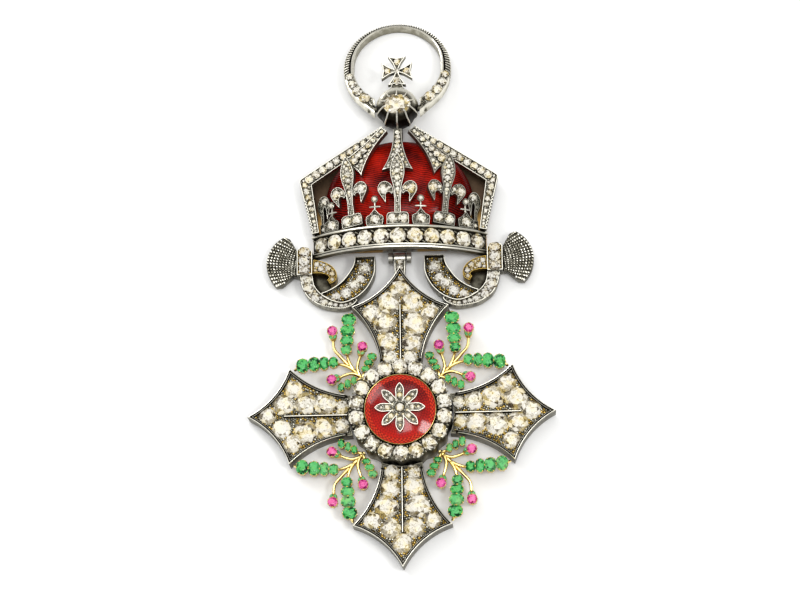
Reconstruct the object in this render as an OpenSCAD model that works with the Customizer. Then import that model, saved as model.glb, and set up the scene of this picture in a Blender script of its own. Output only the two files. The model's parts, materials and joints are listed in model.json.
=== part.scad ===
// A jewelled order badge: a crown on a suspension ring, with a hinged cross below it.
// It lies on its back. X runs to the right, Y towards the ring, Z out of the front.

/* [Cross] */
// Width of the cross over its two side points
cross_w = 55; // [50:0.5:62]
// Distance of an arm's two corners from the centre of the cross
arm_tip_out = 20; // [18.5:0.25:21.5]
// Width of an arm over its two corners
arm_tip_w = 17.6; // [16:0.25:19]
// Width of an arm where it leaves the hub
arm_root_w = 7.2; // [6.8:0.1:7.8]
// How far an arm's long sides curve inwards
arm_side_dip = 1.25; // [0.6:0.05:1.5]
// How far an arm's end edges curve inwards
arm_end_dip = 1.15; // [0.5:0.05:1.4]
// Height of an arm from its back to the top of its rim
arm_t = 4.1; // [3.4:0.1:5]
// Depth of the stone floor below the top of the rim
arm_sink = 0.75; // [0.5:0.05:1.2]
// Thickness of the rim wall
rim_w = 0.45; // [0.3:0.05:0.6]
// Width of the rib down the middle of an arm
rib_w = 0.3; // [0.2:0.05:0.4]

/* [Hub] */
// Radius of the circle of stones round the medallion
cluster_r = 7.85; // [7.6:0.05:8.4]
// Number of stones in the circle
cluster_n = 18; // [14:1:18]
// Diameter of one of them
cluster_stone_d = 2.55; // [2.1:0.05:2.6]
// Height of the collets
hub_t = 7.2; // [6:0.1:8]
// Radius of the enamel disc
enamel_r = 6; // [5.4:0.05:6]
// Rise of the enamel in its middle
enamel_rise = 1; // [0.5:0.05:1.5]
// Width of the rosette
rosette_w = 9; // [7:0.1:10]
// Thickness of the rosette
rosette_t = 0.6; // [0.4:0.05:0.9]

/* [Sprays] */
// Underside of the gold stems
spray_z = 1.9; // [1.4:0.1:2.4]
// Thickness of the gold stems
stem_t = 1; // [0.8:0.1:1.4]
// Width of the main stem at its root
stem_w = 0.95; // [0.7:0.05:1.2]
// Width of a twig
twig_w = 0.45; // [0.35:0.05:0.6]
// Height of a leaf's setting
leaf_t = 1.7; // [1.4:0.1:2]
// Wall of gold left round a stone's seat
leaf_wall = 0.14; // [0.1:0.02:0.2]

/* [Circlet] */
// Width of the circlet over its ends
circlet_w = 32.2; // [29:0.2:34]
// Height of the circlet
circlet_h = 4.35; // [4:0.05:5]
// Front of the circlet above the surface that the badge lies on
circlet_front = 8.6; // [7.8:0.1:9.2]
// The same at its two ends
circlet_end_z = 2.5; // [2.2:0.1:3]
// Wall of the circlet
circlet_t = 1.3; // [1:0.1:1.5]
// How far its mouldings stand out from the row of stones
moulding_out = 0.4; // [0.2:0.05:0.6]
// Number of stones in the circlet
circlet_n = 11; // [9:1:11]
// Diameter of one of them
circlet_stone_d = 2.6; // [2.2:0.05:2.6]

/* [Crown] */
// Height of the crown from the circlet's top to the orb
crown_rise = 19.6; // [18:0.2:22]
// Width over the two shoulders
shoulder_w = 36.4; // [34:0.2:38]
// Height of the shoulders above the circlet
shoulder_rise = 11.1; // [10:0.1:12.5]
// Width of an outer arch
far_arch_w = 2.1; // [1.7:0.05:2.3]
// Top of the outer arches above the surface
far_arch_top = 3.9; // [3.4:0.1:4.2]
// Width of a front arch below the orb
arch_top_w = 1.5; // [1.1:0.05:1.7]
// Width of a front arch at its flared end
arch_end_w = 5.6; // [4.6:0.1:6]
// Thickness of the front arches
arch_t = 1.1; // [0.8:0.05:1.3]
// Height of a fleur above the circlet
fleur_h = 13.8; // [12.5:0.1:14.5]
// Width of a fleur over its side petals
fleur_w = 7.2; // [6.2:0.1:7.6]
// Thickness of the fleurs and pearl mounts
fleur_t = 1.1; // [0.8:0.05:1.3]
// Height of a pearl mount above the circlet
pearl_h = 5.6; // [4.8:0.1:6.4]
// Width of a pearl mount
pearl_w = 3.3; // [2.8:0.1:3.5]
// Width of the enamel cap
cap_w = 27.4; // [24:0.2:28]
// Height of the enamel cap above the circlet
cap_rise = 18.5; // [16:0.1:18.8]
// How far the cap bulges
cap_bulge = 5; // [4:0.1:5.4]
// Thickness of the back plate
back_t = 0.8; // [0.6:0.05:1]

/* [Orb and ring] */
// Diameter of the orb
orb_d = 7.9; // [7.2:0.1:8.6]
// Height of the orb's centre, where the ring swings
orb_z = 5; // [4.8:0.1:5.6]
// Width of the orb's stone
orb_stone_w = 4.9; // [4:0.1:5.2]
// Height of the orb's stone in the plane of the badge
orb_stone_h = 3.7; // [3:0.1:4]
// Width of the small cross on the orb
orb_cross_w = 5.7; // [5:0.1:6.4]
// Thickness of the small cross
orb_cross_t = 1.3; // [1:0.1:1.6]
// Outer diameter of the suspension ring
ring_d = 20; // [18.5:0.25:22]
// Inner diameter of the suspension ring
ring_bore = 16.2; // [15.4:0.1:16.6]
// Thickness of the ring
ring_t = 2; // [1.6:0.1:2.4]
// Distance from the pivot to the centre of the ring
ring_throw = 8.6; // [8.2:0.1:9.4]
// Radius of the pivot stubs
pivot_r = 0.6; // [0.45:0.05:0.7]

/* [Ribbons] */
// Width from the inner strand to the collar's outer face
ribbon_w = 13.3; // [12.6:0.1:14]
// Drop of the loop below the circlet
ribbon_drop = 9.6; // [9:0.1:10.2]
// Distance of the inner strand from the middle of the badge
ribbon_in = 5.4; // [5:0.1:6]
// Width of the inner strand below the circlet
strand_w = 2.8; // [2.4:0.05:3]
// Width of the outer strand below the collar
outer_w = 2.5; // [2.1:0.05:2.7]
// Depth of the channel that the ribbon's stones lie in
channel_t = 0.35; // [0.2:0.05:0.5]
// Top of the ribbons above the surface
ribbon_top = 3.9; // [3.4:0.1:4.2]
// Radius of the inner scroll
scroll_r = 1.85; // [1.5:0.05:2]
// Length of the fringe
fringe_len = 5.6; // [4.8:0.1:6.2]
// Width of the fringe at its outer edge
fringe_w = 9.6; // [8.8:0.1:10.4]
// Thickness of the fringe
fringe_t = 2; // [1.5:0.1:2.4]

/* [Hinge] */
// Radius of the hinge pin
pin_r = 0.4; // [0.3:0.05:0.5]
// Radius of the hinge knuckles
knuckle_r = 1; // [0.85:0.05:1.1]
// Height of the pin above the surface
pin_z = 2.2; // [2.1:0.05:2.6]
// Width of the cross's eye between the lugs
eye_w = 2.2; // [1.8:0.1:2.6]
// Width of a lug
lug_w = 0.75; // [0.6:0.05:1]
// Distance from the pin to the point of the top arm
hinge_drop = 2; // [1.8:0.05:2.6]

/* [Fits] */
// Gap between pieces that sit on each other
seat_gap = 0.06; // [0.05:0.01:0.1]
// Running clearance round the hinge pin and the pivot stubs
run_gap = 0.05; // [0.03:0.01:0.08]
// Side play in the hinge and beside the orb
side_gap = 0.2; // [0.15:0.05:0.3]
// Height of a stone's widest part above its seat
stone_lift = 0.1; // [0.08:0.01:0.14]
// Room left below a stone's point in its seat
point_gap = 0.1; // [0.05:0.01:0.2]

/* [Hidden] */

// Colours of the real badge
silver = "#8d8a84";
gold = "#c9a24a";
diamond = "#efe9cf";
emerald = "#2fa45f";
ruby = "#d43b86";
enamel = "#b3200f";

// Smoothness of round faces, of the shallow domes, and of curves drawn as points
$fn = 64;
dome_n = 200;
curve_n = 8;

// Places along the badge, from the cross's centre up to the top of the ring
reach = cross_w / 2;
pin_y0 = reach + hinge_drop;
circlet_y0 = pin_y0 + 0.15 * knuckle_r;
circlet_top0 = circlet_y0 + circlet_h;
orb_r = orb_d / 2;
orb_y0 = circlet_top0 + crown_rise + orb_r;
ring_r = ring_d / 2;
ring_reach = ring_throw + ring_r;
ring_tilt = asin((orb_z - ring_t / 2) / ring_reach) * 0.997;
ring_top0 = orb_y0 + ring_reach * cos(ring_tilt) + ring_t / 2 * sin(ring_tilt);
// The origin lies under the middle of the whole badge
cross_y = -(ring_top0 - reach) / 2;
pin_y = cross_y + pin_y0;
circlet_y = cross_y + circlet_y0;
crown_y = cross_y + circlet_top0;
orb_y = cross_y + orb_y0;

// The circlet is an arc about an axis along Y
circlet_sag = circlet_front - circlet_end_z;
circlet_r = (pow(circlet_w / 2, 2) + pow(circlet_sag, 2)) / (2 * circlet_sag);
circlet_turn = asin(circlet_w / 2 / circlet_r);
axis_z = circlet_front - circlet_r;
stone_r = circlet_r - moulding_out;

// A point on a circle
function polar(r, a) = [r * cos(a), r * sin(a)];
// Points along an arc from one angle to another
function arc(c, r, a0, a1, n = curve_n) = [for (i = [0 : n]) c + polar(r, a0 + (a1 - a0) * i / n)];
// A list with its last item first
function reversed(l) = [for (i = [len(l) - 1 : -1 : 0]) l[i]];
function unit(v) = v / norm(v);
// Share of the way between two values
function mix(a, b, t) = a + (b - a) * t;
// A smooth point between the middle two of four chosen points
function spline4(a, b, c, d, t) =
    0.5 * (2 * b + (c - a) * t + (2 * a - 5 * b + 4 * c - d) * t * t
    + (3 * b - a - 3 * c + d) * t * t * t);
// A smooth line through a short list of chosen points
function smooth(p, n = 4) = [
    for (i = [0 : len(p) - 2])
        for (j = [0 : n - 1])
            spline4(p[max(i - 1, 0)], p[i], p[i + 1], p[min(i + 2, len(p) - 1)], j / n),
    p[len(p) - 1]];
// The direction of such a line at one of its points
function heading(p, i) = unit(p[min(i + 1, len(p) - 1)] - p[max(i - 1, 0)]);
// A strip of changing width along a line: w0 at its start and w1 at its end
function strip(p, w0, w1) = let(n = len(p) - 1) concat(
    [for (i = [0 : n]) let(d = heading(p, i)) p[i] + [-d.y, d.x] * mix(w0, w1, i / n) / 2],
    [for (i = [n : -1 : 0]) let(d = heading(p, i)) p[i] - [-d.y, d.x] * mix(w0, w1, i / n) / 2]);
function mirrored(p) = [for (q = p) [-q.x, q.y]];

// A cut stone: a table, a ring of facets round it, and a pointed back.
// Its widest part lies at height 0, w wide and l long.
stone_sides = 8;
table_share = 0.55;
crown_share = 0.26;
back_share = 0.3;
module gem(w, l) {
    n = stone_sides;
    step = 360 / n;
    s = min(w, l);
    size = [w / 2, l / 2];
    girdle = [for (i = [0 : n - 1]) let(p = polar(1, i * step)) [p.x * size.x, p.y * size.y, 0]];
    table = [for (i = [0 : n - 1]) let(p = polar(table_share, (i + 0.5) * step))
        [p.x * size.x, p.y * size.y, s * crown_share]];
    polyhedron(
        points = concat(girdle, table, [[0, 0, -s * back_share]]),
        faces = concat(
            [[for (i = [n - 1 : -1 : 0]) n + i]],
            [for (i = [0 : n - 1]) [i, n + i, (i + 1) % n]],
            [for (i = [0 : n - 1]) [n + i, n + (i + 1) % n, (i + 1) % n]],
            [for (i = [0 : n - 1]) [i, (i + 1) % n, 2 * n]]));
}
// The hole that a stone's back reaches into, cut about the place where its floor is
seat_share = 0.92;
module seat(w, l) {
    s = max(w, l);
    linear_extrude(s, center = true)
        polygon([for (i = [0 : stone_sides - 1]) let(p = polar(seat_share / 2, i * 360 / stone_sides))
            [p.x * w, p.y * l]]);
}
module round_seat(d) {
    cylinder(d = d * seat_share, h = 2 * (d * back_share + point_gap), center = true);
}

// A solid drawn in a plane of its own: x across it, y from the first place towards the second,
// and its thickness on the side that faces outwards
module plane_between(from, to, outwards) {
    v = unit(to - from);
    n = unit(outwards - (outwards * v) * v);
    u = cross(v, n);
    multmatrix([
        [u.x, v.x, n.x, from.x],
        [u.y, v.y, n.y, from.y],
        [u.z, v.z, n.z, from.z],
        [0, 0, 0, 1]]) children();
}

// A place on the circlet: a turn about its axis, a height and a distance from the axis
module on_circlet(turn, y, r) {
    translate([0, y, axis_z]) rotate([0, turn, 0]) translate([0, 0, r]) children();
}

// CROSS

collet_r = cluster_stone_d / 2 + 0.17;
hub_r = cluster_r + collet_r;
arm_floor = arm_t - arm_sink;
arm_root_x = sqrt(hub_r * hub_r - arm_root_w * arm_root_w / 4) - 0.3;
arm_len = reach - hub_r;
arm_unit = min(arm_len, arm_tip_w, arm_root_w * 2.5);

// A round cut that leaves a curved edge from p to q, dipping inwards by a given depth
module edge_cut(p, q, dip, inset) {
    half = norm(q - p) / 2;
    r = (half * half + dip * dip) / (2 * dip);
    d = unit(q - p);
    side = [d.y, -d.x];
    translate((p + q) / 2 + side * (r - dip)) circle(r = r + inset, $fn = 128);
}

// An arm's outline, pointing along X. The inset is the distance inside its edge.
module arm_outline(inset = 0) {
    half = arm_root_w / 2;
    tip = arm_tip_w / 2;
    difference() {
        polygon([[arm_root_x, -half], [arm_tip_out, -tip], [reach, 0], [arm_tip_out, tip],
            [arm_root_x, half]]);
        edge_cut([arm_root_x, -half], [arm_tip_out, -tip], arm_side_dip, inset);
        edge_cut([arm_tip_out, -tip], [reach, 0], arm_end_dip, inset);
        edge_cut([reach, 0], [arm_tip_out, tip], arm_end_dip, inset);
        edge_cut([arm_tip_out, tip], [arm_root_x, half], arm_side_dip, inset);
        circle(r = hub_r + seat_gap - max(inset, 0), $fn = 128);
    }
}

// Stones of each arm: share of the arm's length from the hub, share of half its width over
// the corners, and diameter as a share of the arm's unit
arm_stones = [
    // top
    [[0.785, 0.00, 0.176], [0.62, -0.23, 0.195], [0.62, 0.24, 0.190], [0.525, -0.59, 0.150],
     [0.52, 0.60, 0.150], [0.425, -0.31, 0.195], [0.405, 0.31, 0.200], [0.225, -0.28, 0.176],
     [0.215, 0.25, 0.180], [0.07, -0.22, 0.118], [0.065, 0.20, 0.118]],
    // left
    [[0.80, 0.02, 0.140], [0.665, -0.26, 0.158], [0.56, -0.57, 0.155], [0.43, -0.33, 0.195],
     [0.235, -0.27, 0.190], [0.075, -0.22, 0.125], [0.65, 0.25, 0.175], [0.545, 0.56, 0.155],
     [0.43, 0.27, 0.185], [0.235, 0.24, 0.180], [0.075, 0.17, 0.120]],
    // right
    [[0.06, 0.23, 0.105], [0.20, 0.25, 0.165], [0.395, 0.32, 0.195], [0.615, 0.27, 0.195],
     [0.53, 0.61, 0.160], [0.76, 0.03, 0.165], [0.067, -0.17, 0.118], [0.225, -0.20, 0.175],
     [0.42, -0.24, 0.195], [0.625, -0.21, 0.180], [0.56, -0.59, 0.145]],
    // bottom
    [[0.067, -0.20, 0.120], [0.067, 0.23, 0.120], [0.215, -0.24, 0.170], [0.215, 0.24, 0.170],
     [0.405, -0.32, 0.195], [0.405, 0.31, 0.195], [0.535, -0.61, 0.145], [0.54, 0.60, 0.145],
     [0.62, -0.24, 0.170], [0.615, 0.23, 0.175], [0.765, -0.01, 0.165]]];
// Turn of each arm from X, and the end of its rib as a share of its length
arm_turns = [90, 180, 0, 270];
rib_from = 0.02;
rib_to = [0.6, 0.64, 0.66, 0.66];

module arm_place(i) {
    translate([0, cross_y, 0]) rotate([0, 0, arm_turns[i]]) children();
}
// Left and right are mirrored in the table's second column, so that up stays up
function arm_stone_place(i, s) =
    [hub_r + s[0] * arm_len, (i == 1 || i == 0 ? -1 : 1) * s[1] * arm_tip_w / 2];

module arm_body(i) {
    rib_len = (rib_to[i] - rib_from) * arm_len;
    difference() {
        linear_extrude(arm_t) arm_outline();
        difference() {
            translate([0, 0, arm_floor]) linear_extrude(arm_t) arm_outline(rim_w);
            translate([hub_r + rib_from * arm_len, -rib_w / 2, 0]) cube([rib_len, rib_w, arm_t]);
        }
        for (s = arm_stones[i])
            translate(concat(arm_stone_place(i, s), [arm_floor]))
                round_seat(s[2] * arm_unit);
    }
}
module arm_gems(i) {
    color(diamond) arm_place(i)
        for (s = arm_stones[i])
            translate(concat(arm_stone_place(i, s), [arm_floor + stone_lift]))
                gem(s[2] * arm_unit, s[2] * arm_unit);
}
module arm_left() {
    color(silver) arm_place(1) arm_body(1);
}
module arm_right() {
    color(silver) arm_place(2) arm_body(2);
}
module arm_bottom() {
    color(silver) arm_place(3) arm_body(3);
}
// The top arm carries the eye of the hinge on a short tongue
tongue_end = reach - 2.2 * rim_w - arm_end_dip;
tongue_top = pin_z + 0.9 * knuckle_r;
tongue_w = eye_w * 0.78;
module arm_top() {
    color(silver) difference() {
        union() {
            arm_place(0) arm_body(0);
            translate([-tongue_w / 2, cross_y + tongue_end, pin_z - 0.8 * knuckle_r])
                cube([tongue_w, pin_y0 - tongue_end, tongue_top - pin_z + 0.8 * knuckle_r]);
            translate([-eye_w / 2, pin_y, pin_z]) rotate([0, 90, 0])
                cylinder(r = knuckle_r, h = eye_w);
        }
        translate([-eye_w, pin_y, pin_z]) rotate([0, 90, 0])
            cylinder(r = pin_r + run_gap, h = 2 * eye_w);
    }
}

// The hub: a ring of collets round a pocket for the medallion
pocket_r = enamel_r + 0.45;
pocket_z = arm_t;
collet_step = 360 / cluster_n;
module cluster_ring(r, z) {
    for (i = [0 : cluster_n - 1])
        rotate([0, 0, 90 + i * collet_step]) translate([r, 0, z]) children();
}
// The outline is a row of lobes, one to each collet; neighbours meet at a valley
valley_r = cluster_r * cos(collet_step / 2)
    + sqrt(pow(collet_r, 2) - pow(cluster_r * sin(collet_step / 2), 2));
lobe_half = atan2(valley_r * sin(collet_step / 2), valley_r * cos(collet_step / 2) - cluster_r);
hub_outline = [for (i = [0 : cluster_n - 1]) for (k = [0 : curve_n - 1])
    let(a = 90 + i * collet_step)
    polar(cluster_r, a) + polar(collet_r, a + lobe_half * (2 * k / curve_n - 1))];
module hub() {
    color(silver) translate([0, cross_y, 0]) difference() {
        linear_extrude(hub_t) polygon(hub_outline);
        translate([0, 0, pocket_z]) cylinder(r = pocket_r, h = hub_t);
        cluster_ring(cluster_r, hub_t) cylinder(d = cluster_stone_d * seat_share, h = 2, center = true);
    }
}
module cluster_diamonds() {
    color(diamond) translate([0, cross_y, 0])
        cluster_ring(cluster_r, hub_t + stone_lift) gem(cluster_stone_d, cluster_stone_d);
}
// The medallion in the pocket: gold rim, domed enamel and the silver rosette on it
medallion_z = pocket_z + seat_gap;
rim_top = hub_t + 0.35;
dome_r = (enamel_r * enamel_r + enamel_rise * enamel_rise) / (2 * enamel_rise);
dome_z = rim_top - 0.15 + enamel_rise - dome_r;
module medallion_rim() {
    color(gold) translate([0, cross_y, medallion_z]) difference() {
        cylinder(r = pocket_r - seat_gap, h = rim_top - medallion_z);
        translate([0, 0, 1]) cylinder(r = enamel_r + seat_gap / 2, h = rim_top);
    }
}
module medallion_enamel() {
    color(enamel) translate([0, cross_y, 0]) intersection() {
        translate([0, 0, medallion_z + 1 + seat_gap]) cylinder(r = enamel_r - seat_gap / 2, h = hub_t);
        translate([0, 0, dome_z]) sphere(r = dome_r, $fn = dome_n);
    }
}
// Eight petals, their points out: share of the radius, and share of the half-step between them
petal_n = 8;
petal_edge = [[0.40, 1], [0.54, 0.78], [0.69, 0.66], [0.83, 0.44], [0.93, 0.22], [1, 0]];
module rosette() {
    step = 180 / petal_n;
    last = len(petal_edge) - 1;
    top = dome_z + dome_r;
    star = [for (i = [0 : petal_n - 1]) each concat(
        [for (k = [0 : last]) polar(petal_edge[k][0] * rosette_w / 2,
            (2 * i - petal_edge[k][1]) * step)],
        [for (k = [last - 1 : -1 : 1]) polar(petal_edge[k][0] * rosette_w / 2,
            (2 * i + petal_edge[k][1]) * step)])];
    color(silver) translate([0, cross_y, 0]) difference() {
        translate([0, 0, top - enamel_rise]) linear_extrude(enamel_rise + rosette_t) polygon(star);
        translate([0, 0, dome_z]) sphere(r = dome_r + seat_gap, $fn = dome_n);
    }
}

// SPRAYS

// Everything of a spray lies between two arms, as shares of the arm's reach.
// Long leaf: place out along one arm and away from it, width and length of each stone
long_leaf = [
    [0.338, 0.643, 0.084, 0.070], [0.347, 0.568, 0.084, 0.068], [0.351, 0.502, 0.078, 0.056],
    [0.356, 0.440, 0.064, 0.056]];
short_leaf = [
    [0.188, 0.390, 0.054, 0.040], [0.209, 0.347, 0.056, 0.037], [0.230, 0.307, 0.050, 0.036]];
berries = [[0.447, 0.569], [0.250, 0.459], [0.452, 0.240]];
berry_d = 0.058;
// Twigs from the main stem, as points on the same shares, with the width at root and end
spray_root = [0.243, 0.243];
spray_fork = [0.345, 0.345];
twigs = [
    [[[0.315, 0.315], [0.340, 0.365], [0.354, 0.42]], 1.3, 1],
    [[[0.315, 0.315], [0.365, 0.340], [0.42, 0.354]], 1.3, 1],
    [[[0.345, 0.345], [0.395, 0.400], [0.437, 0.455], [0.443, 0.540]], 1.3, 1],
    [[[0.270, 0.270], [0.285, 0.320], [0.275, 0.375], [0.254, 0.432]], 1.2, 1],
    [[[0.270, 0.270], [0.320, 0.285], [0.375, 0.272], [0.425, 0.246]], 1.2, 1],
    [[[0.252, 0.252], [0.246, 0.275], [0.232, 0.305]], 1.2, 1],
    [[[0.252, 0.252], [0.275, 0.246], [0.305, 0.232]], 1.2, 1]];
spray_unit = min(reach, 1.375 * arm_tip_out);

module spray_place(i) {
    translate([0, cross_y, 0]) mirror([i == 1 || i == 2 ? 1 : 0, 0, 0])
        mirror([0, i > 1 ? 1 : 0, 0]) children();
}
// A leaf's stones on both sides of the diagonal
function leaf_rows(rows) = concat(
    [for (s = rows) [s[0], s[1], s[2], s[3]] * spray_unit],
    [for (s = rows) [s[1], s[0], s[3], s[2]] * spray_unit]);
leaves = concat(leaf_rows(long_leaf), leaf_rows(short_leaf));
leaf_top = spray_z + leaf_t;

module spray(i) {
    color(gold) spray_place(i) difference() {
        union() {
            translate([0, 0, spray_z]) linear_extrude(stem_t)
                polygon(strip([spray_root, spray_fork] * spray_unit, stem_w, twig_w * 1.4));
            for (t = twigs)
                translate([0, 0, spray_z]) linear_extrude(stem_t)
                    polygon(strip(smooth(t[0] * spray_unit, 3), twig_w * t[1], twig_w * t[2]));
            for (s = leaves)
                translate([s[0], s[1], spray_z])
                    cylinder(d = (s[2] + s[3]) / 2 + 2 * leaf_wall, h = leaf_t);
            for (b = berries)
                translate([b[0] * spray_unit, b[1] * spray_unit, spray_z])
                    cylinder(d = berry_d * spray_unit + 2 * leaf_wall, h = leaf_t);
            // Links that carry the long leaves on the arms' corners
            for (m = [0, 1])
                mirror([m, -m, 0]) translate([0, 0, spray_z]) linear_extrude(stem_t)
                    polygon(strip([[0.338, 0.66], [0.318, 0.695]] * spray_unit, twig_w * 2, twig_w));
        }
        for (s = leaves)
            translate([s[0], s[1], leaf_top])
                seat(s[2] * 0.98, s[3] * 0.98);
        for (b = berries)
            translate([b[0] * spray_unit, b[1] * spray_unit, leaf_top])
                cylinder(d = berry_d * spray_unit * seat_share, h = leaf_t, center = true);
        // The arms and the hub keep clear of the gold
        for (a = [0, 90]) rotate([0, 0, a]) translate([0, 0, -1]) linear_extrude(2 * arm_t)
            arm_outline(-seat_gap);
    }
}
module emeralds(i) {
    color(emerald) spray_place(i)
        for (s = leaves)
            translate([s[0], s[1], leaf_top + stone_lift]) gem(s[2] * 0.98, s[3] * 0.98);
}
module rubies() {
    color(ruby)
        for (i = [0 : 3])
            spray_place(i)
                for (b = berries)
                    translate([b[0] * spray_unit, b[1] * spray_unit, leaf_top + stone_lift])
                        gem(berry_d * spray_unit, berry_d * spray_unit);
}

// CROWN

// The circlet's section: distance from its axis, and share of its height
circlet_section = [
    [-1, 0], [-0.15, 0], [0, 0.04], [0, 0.12], [-0.15, 0.16], [-0.3, 0.17], [-0.3, 0.87],
    [-0.1, 0.89], [0, 0.92], [0, 0.97], [-0.1, 1], [-1, 1]];
module circlet() {
    pitch = 2 * circlet_turn / (circlet_n + 0.35);
    color(silver) difference() {
        translate([0, circlet_y, axis_z]) rotate([-90, 0, 0])
            rotate_extrude(angle = 2 * circlet_turn, start = 270 - circlet_turn, $fn = 128)
                polygon([for (s = circlet_section)
                    [circlet_r + s[0] * circlet_t, s[1] * circlet_h]]);
        for (i = [0 : circlet_n - 1])
            on_circlet((i - (circlet_n - 1) / 2) * pitch, circlet_y + circlet_h * 0.52, stone_r)
                cylinder(d = circlet_stone_d * seat_share, h = 3 * circlet_t, center = true);
    }
}
module circlet_diamonds() {
    pitch = 2 * circlet_turn / (circlet_n + 0.35);
    color(diamond)
        for (i = [0 : circlet_n - 1])
            on_circlet((i - (circlet_n - 1) / 2) * pitch, circlet_y + circlet_h * 0.52,
                stone_r + stone_lift)
                gem(circlet_stone_d, circlet_stone_d);
}

// The enamel cap: a bonnet with a rounded outline, flat at the back
cap_y = crown_y - 1;
cap_mid = 0.37;
cap_rings = 7;
cap_sides = 40;
module cap_enamel() {
    low = cap_mid * cap_rise;
    z0 = back_t + seat_gap;
    rings = [for (k = [0 : cap_rings - 1]) let(a = 90 * k / cap_rings) for (i = [0 : cap_sides - 1])
        let(t = 360 * i / cap_sides, c = cos(a) * cos(t), s = cos(a) * sin(t))
        [cap_w / 2 * c, cap_y + low + s * (s > 0 ? cap_rise + 1 - low : low), z0 + cap_bulge * sin(a)]];
    top = [0, cap_y + low, z0 + cap_bulge];
    m = cap_sides;
    color(enamel) polyhedron(
        points = concat(rings, [top]),
        faces = concat(
            [[for (i = [0 : m - 1]) i]],
            [for (k = [0 : cap_rings - 2]) for (i = [0 : m - 1])
                [k * m + i, (k + 1) * m + i, (k + 1) * m + (i + 1) % m]],
            [for (k = [0 : cap_rings - 2]) for (i = [0 : m - 1])
                [k * m + i, (k + 1) * m + (i + 1) % m, k * m + (i + 1) % m]],
            [for (i = [0 : m - 1])
                [(cap_rings - 1) * m + i, cap_rings * m, (cap_rings - 1) * m + (i + 1) % m]]));
}

// Gold back: a plate behind the circlet and the cap, a neck up to the orb, feet and hinge lugs
neck_w = 1.4;
lug_x = eye_w / 2 + side_gap;
foot_w = 1.1;
back_inset = 1.7;
lining_to = 0.55;
module crown_back() {
    half = circlet_w / 2 - 0.25;
    foot_z = axis_z + (circlet_r - circlet_t) * cos(circlet_turn) - seat_gap;
    cap_in = 0.35;
    low = cap_mid * cap_rise;
    color(gold) union() {
        linear_extrude(back_t) {
            translate([-half, circlet_y + back_inset]) square([2 * half, circlet_h - back_inset]);
            polygon([for (i = [0 : cap_sides - 1])
                let(t = 360 * i / cap_sides, s = sin(t))
                [(cap_w / 2 - cap_in) * cos(t),
                 cap_y + low + s * (s > 0 ? cap_rise + 1 - low - cap_in : low)]]);
            translate([-neck_w / 2, crown_y]) square([neck_w, orb_y - crown_y]);
            translate([0, orb_y]) circle(r = orb_r * 0.55);
            // The plate runs on below the outer arches and closes the corners beside the cap
            for (m = [0, 1]) mirror([m, 0]) polygon([
                [0, crown_y - 0.5], [far_foot.x, crown_y - 0.5], far_shoulder,
                mix(far_shoulder, far_top, lining_to), [0, crown_y + cap_rise * 0.4]]);
        }
        // Pad below the orb
        translate([0, orb_y, 0]) cylinder(r = orb_r * 0.4, h = orb_z - orb_r - seat_gap);
        // Feet below the circlet's ends
        for (m = [0, 1]) mirror([m, 0, 0])
            translate([half - foot_w - 0.45, circlet_y + back_inset, 0])
                cube([foot_w, circlet_h - back_inset - 0.4, foot_z]);
        // Lugs and the pin between them
        for (m = [0, 1]) mirror([m, 0, 0]) {
            translate([lug_x, pin_y, pin_z]) rotate([0, 90, 0]) cylinder(r = knuckle_r, h = lug_w);
            translate([lug_x, pin_y, pin_z - knuckle_r]) cube([lug_w, knuckle_r * 2, 1.6 * knuckle_r]);
            translate([lug_x, pin_y + 0.4, 0]) cube([lug_w, knuckle_r * 2.6, pin_z]);
        }
        translate([-lug_x - lug_w / 2, pin_y, pin_z]) rotate([0, 90, 0])
            cylinder(r = pin_r, h = 2 * lug_x + lug_w);
    }
}

// Front arches: a plate that widens from the orb to a flared, hollow-ended foot
arch_flare = 2.4;
arch_notch = 0.75;
// The shares tell how much of the flared width lies on each side
module arch_plate(length, left, right) {
    n = 10;
    left_edge = [for (i = [0 : n]) [-mix(arch_top_w / 2, arch_end_w * left, pow(i / n, arch_flare)),
        length * i / n]];
    right_edge = [for (i = [n : -1 : 0])
        [mix(arch_top_w / 2, arch_end_w * right, pow(i / n, arch_flare)), length * i / n]];
    foot = [[-arch_end_w * left * 0.45, length - arch_notch * 0.6],
        [arch_end_w * right * 0.45, length - arch_notch * 0.6]];
    linear_extrude(arch_t) polygon(concat(left_edge, foot, right_edge));
}
// Ends of the arches on the crown's round front: turn about the circlet's axis, height
arch_top_y = orb_y - orb_r - 0.35;
arch_foot_rise = [0.545, 0.61, 0.61];
arch_turns = circlet_turn * [0, -0.566, 0.566];
arch_top_z = 4.4;
// Height of the arches' undersides at the foot, measured from the axis
arch_foot_r = circlet_r - circlet_t - 1.15;
function arch_from(i) = [i == 0 ? 0 : sign(arch_turns[i]) * 2.3, arch_top_y + (i == 0 ? 0 : 0.1),
    arch_top_z - (i == 0 ? 0 : 0.2)];
function arch_to(i) = [
    (arch_foot_r) * sin(arch_turns[i]),
    crown_y + crown_rise * arch_foot_rise[i],
    axis_z + arch_foot_r * cos(arch_turns[i])];
module arch_place(i) {
    plane_between(arch_from(i), arch_to(i), [sin(arch_turns[i]), 0, cos(arch_turns[i])]) children();
}
arch_shares = [[0.5, 0.5], [0.38, 0.47], [0.47, 0.38]];
module arch(i) {
    color(silver) arch_place(i)
        arch_plate(norm(arch_to(i) - arch_from(i)), arch_shares[i][1], arch_shares[i][0]);
}

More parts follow.
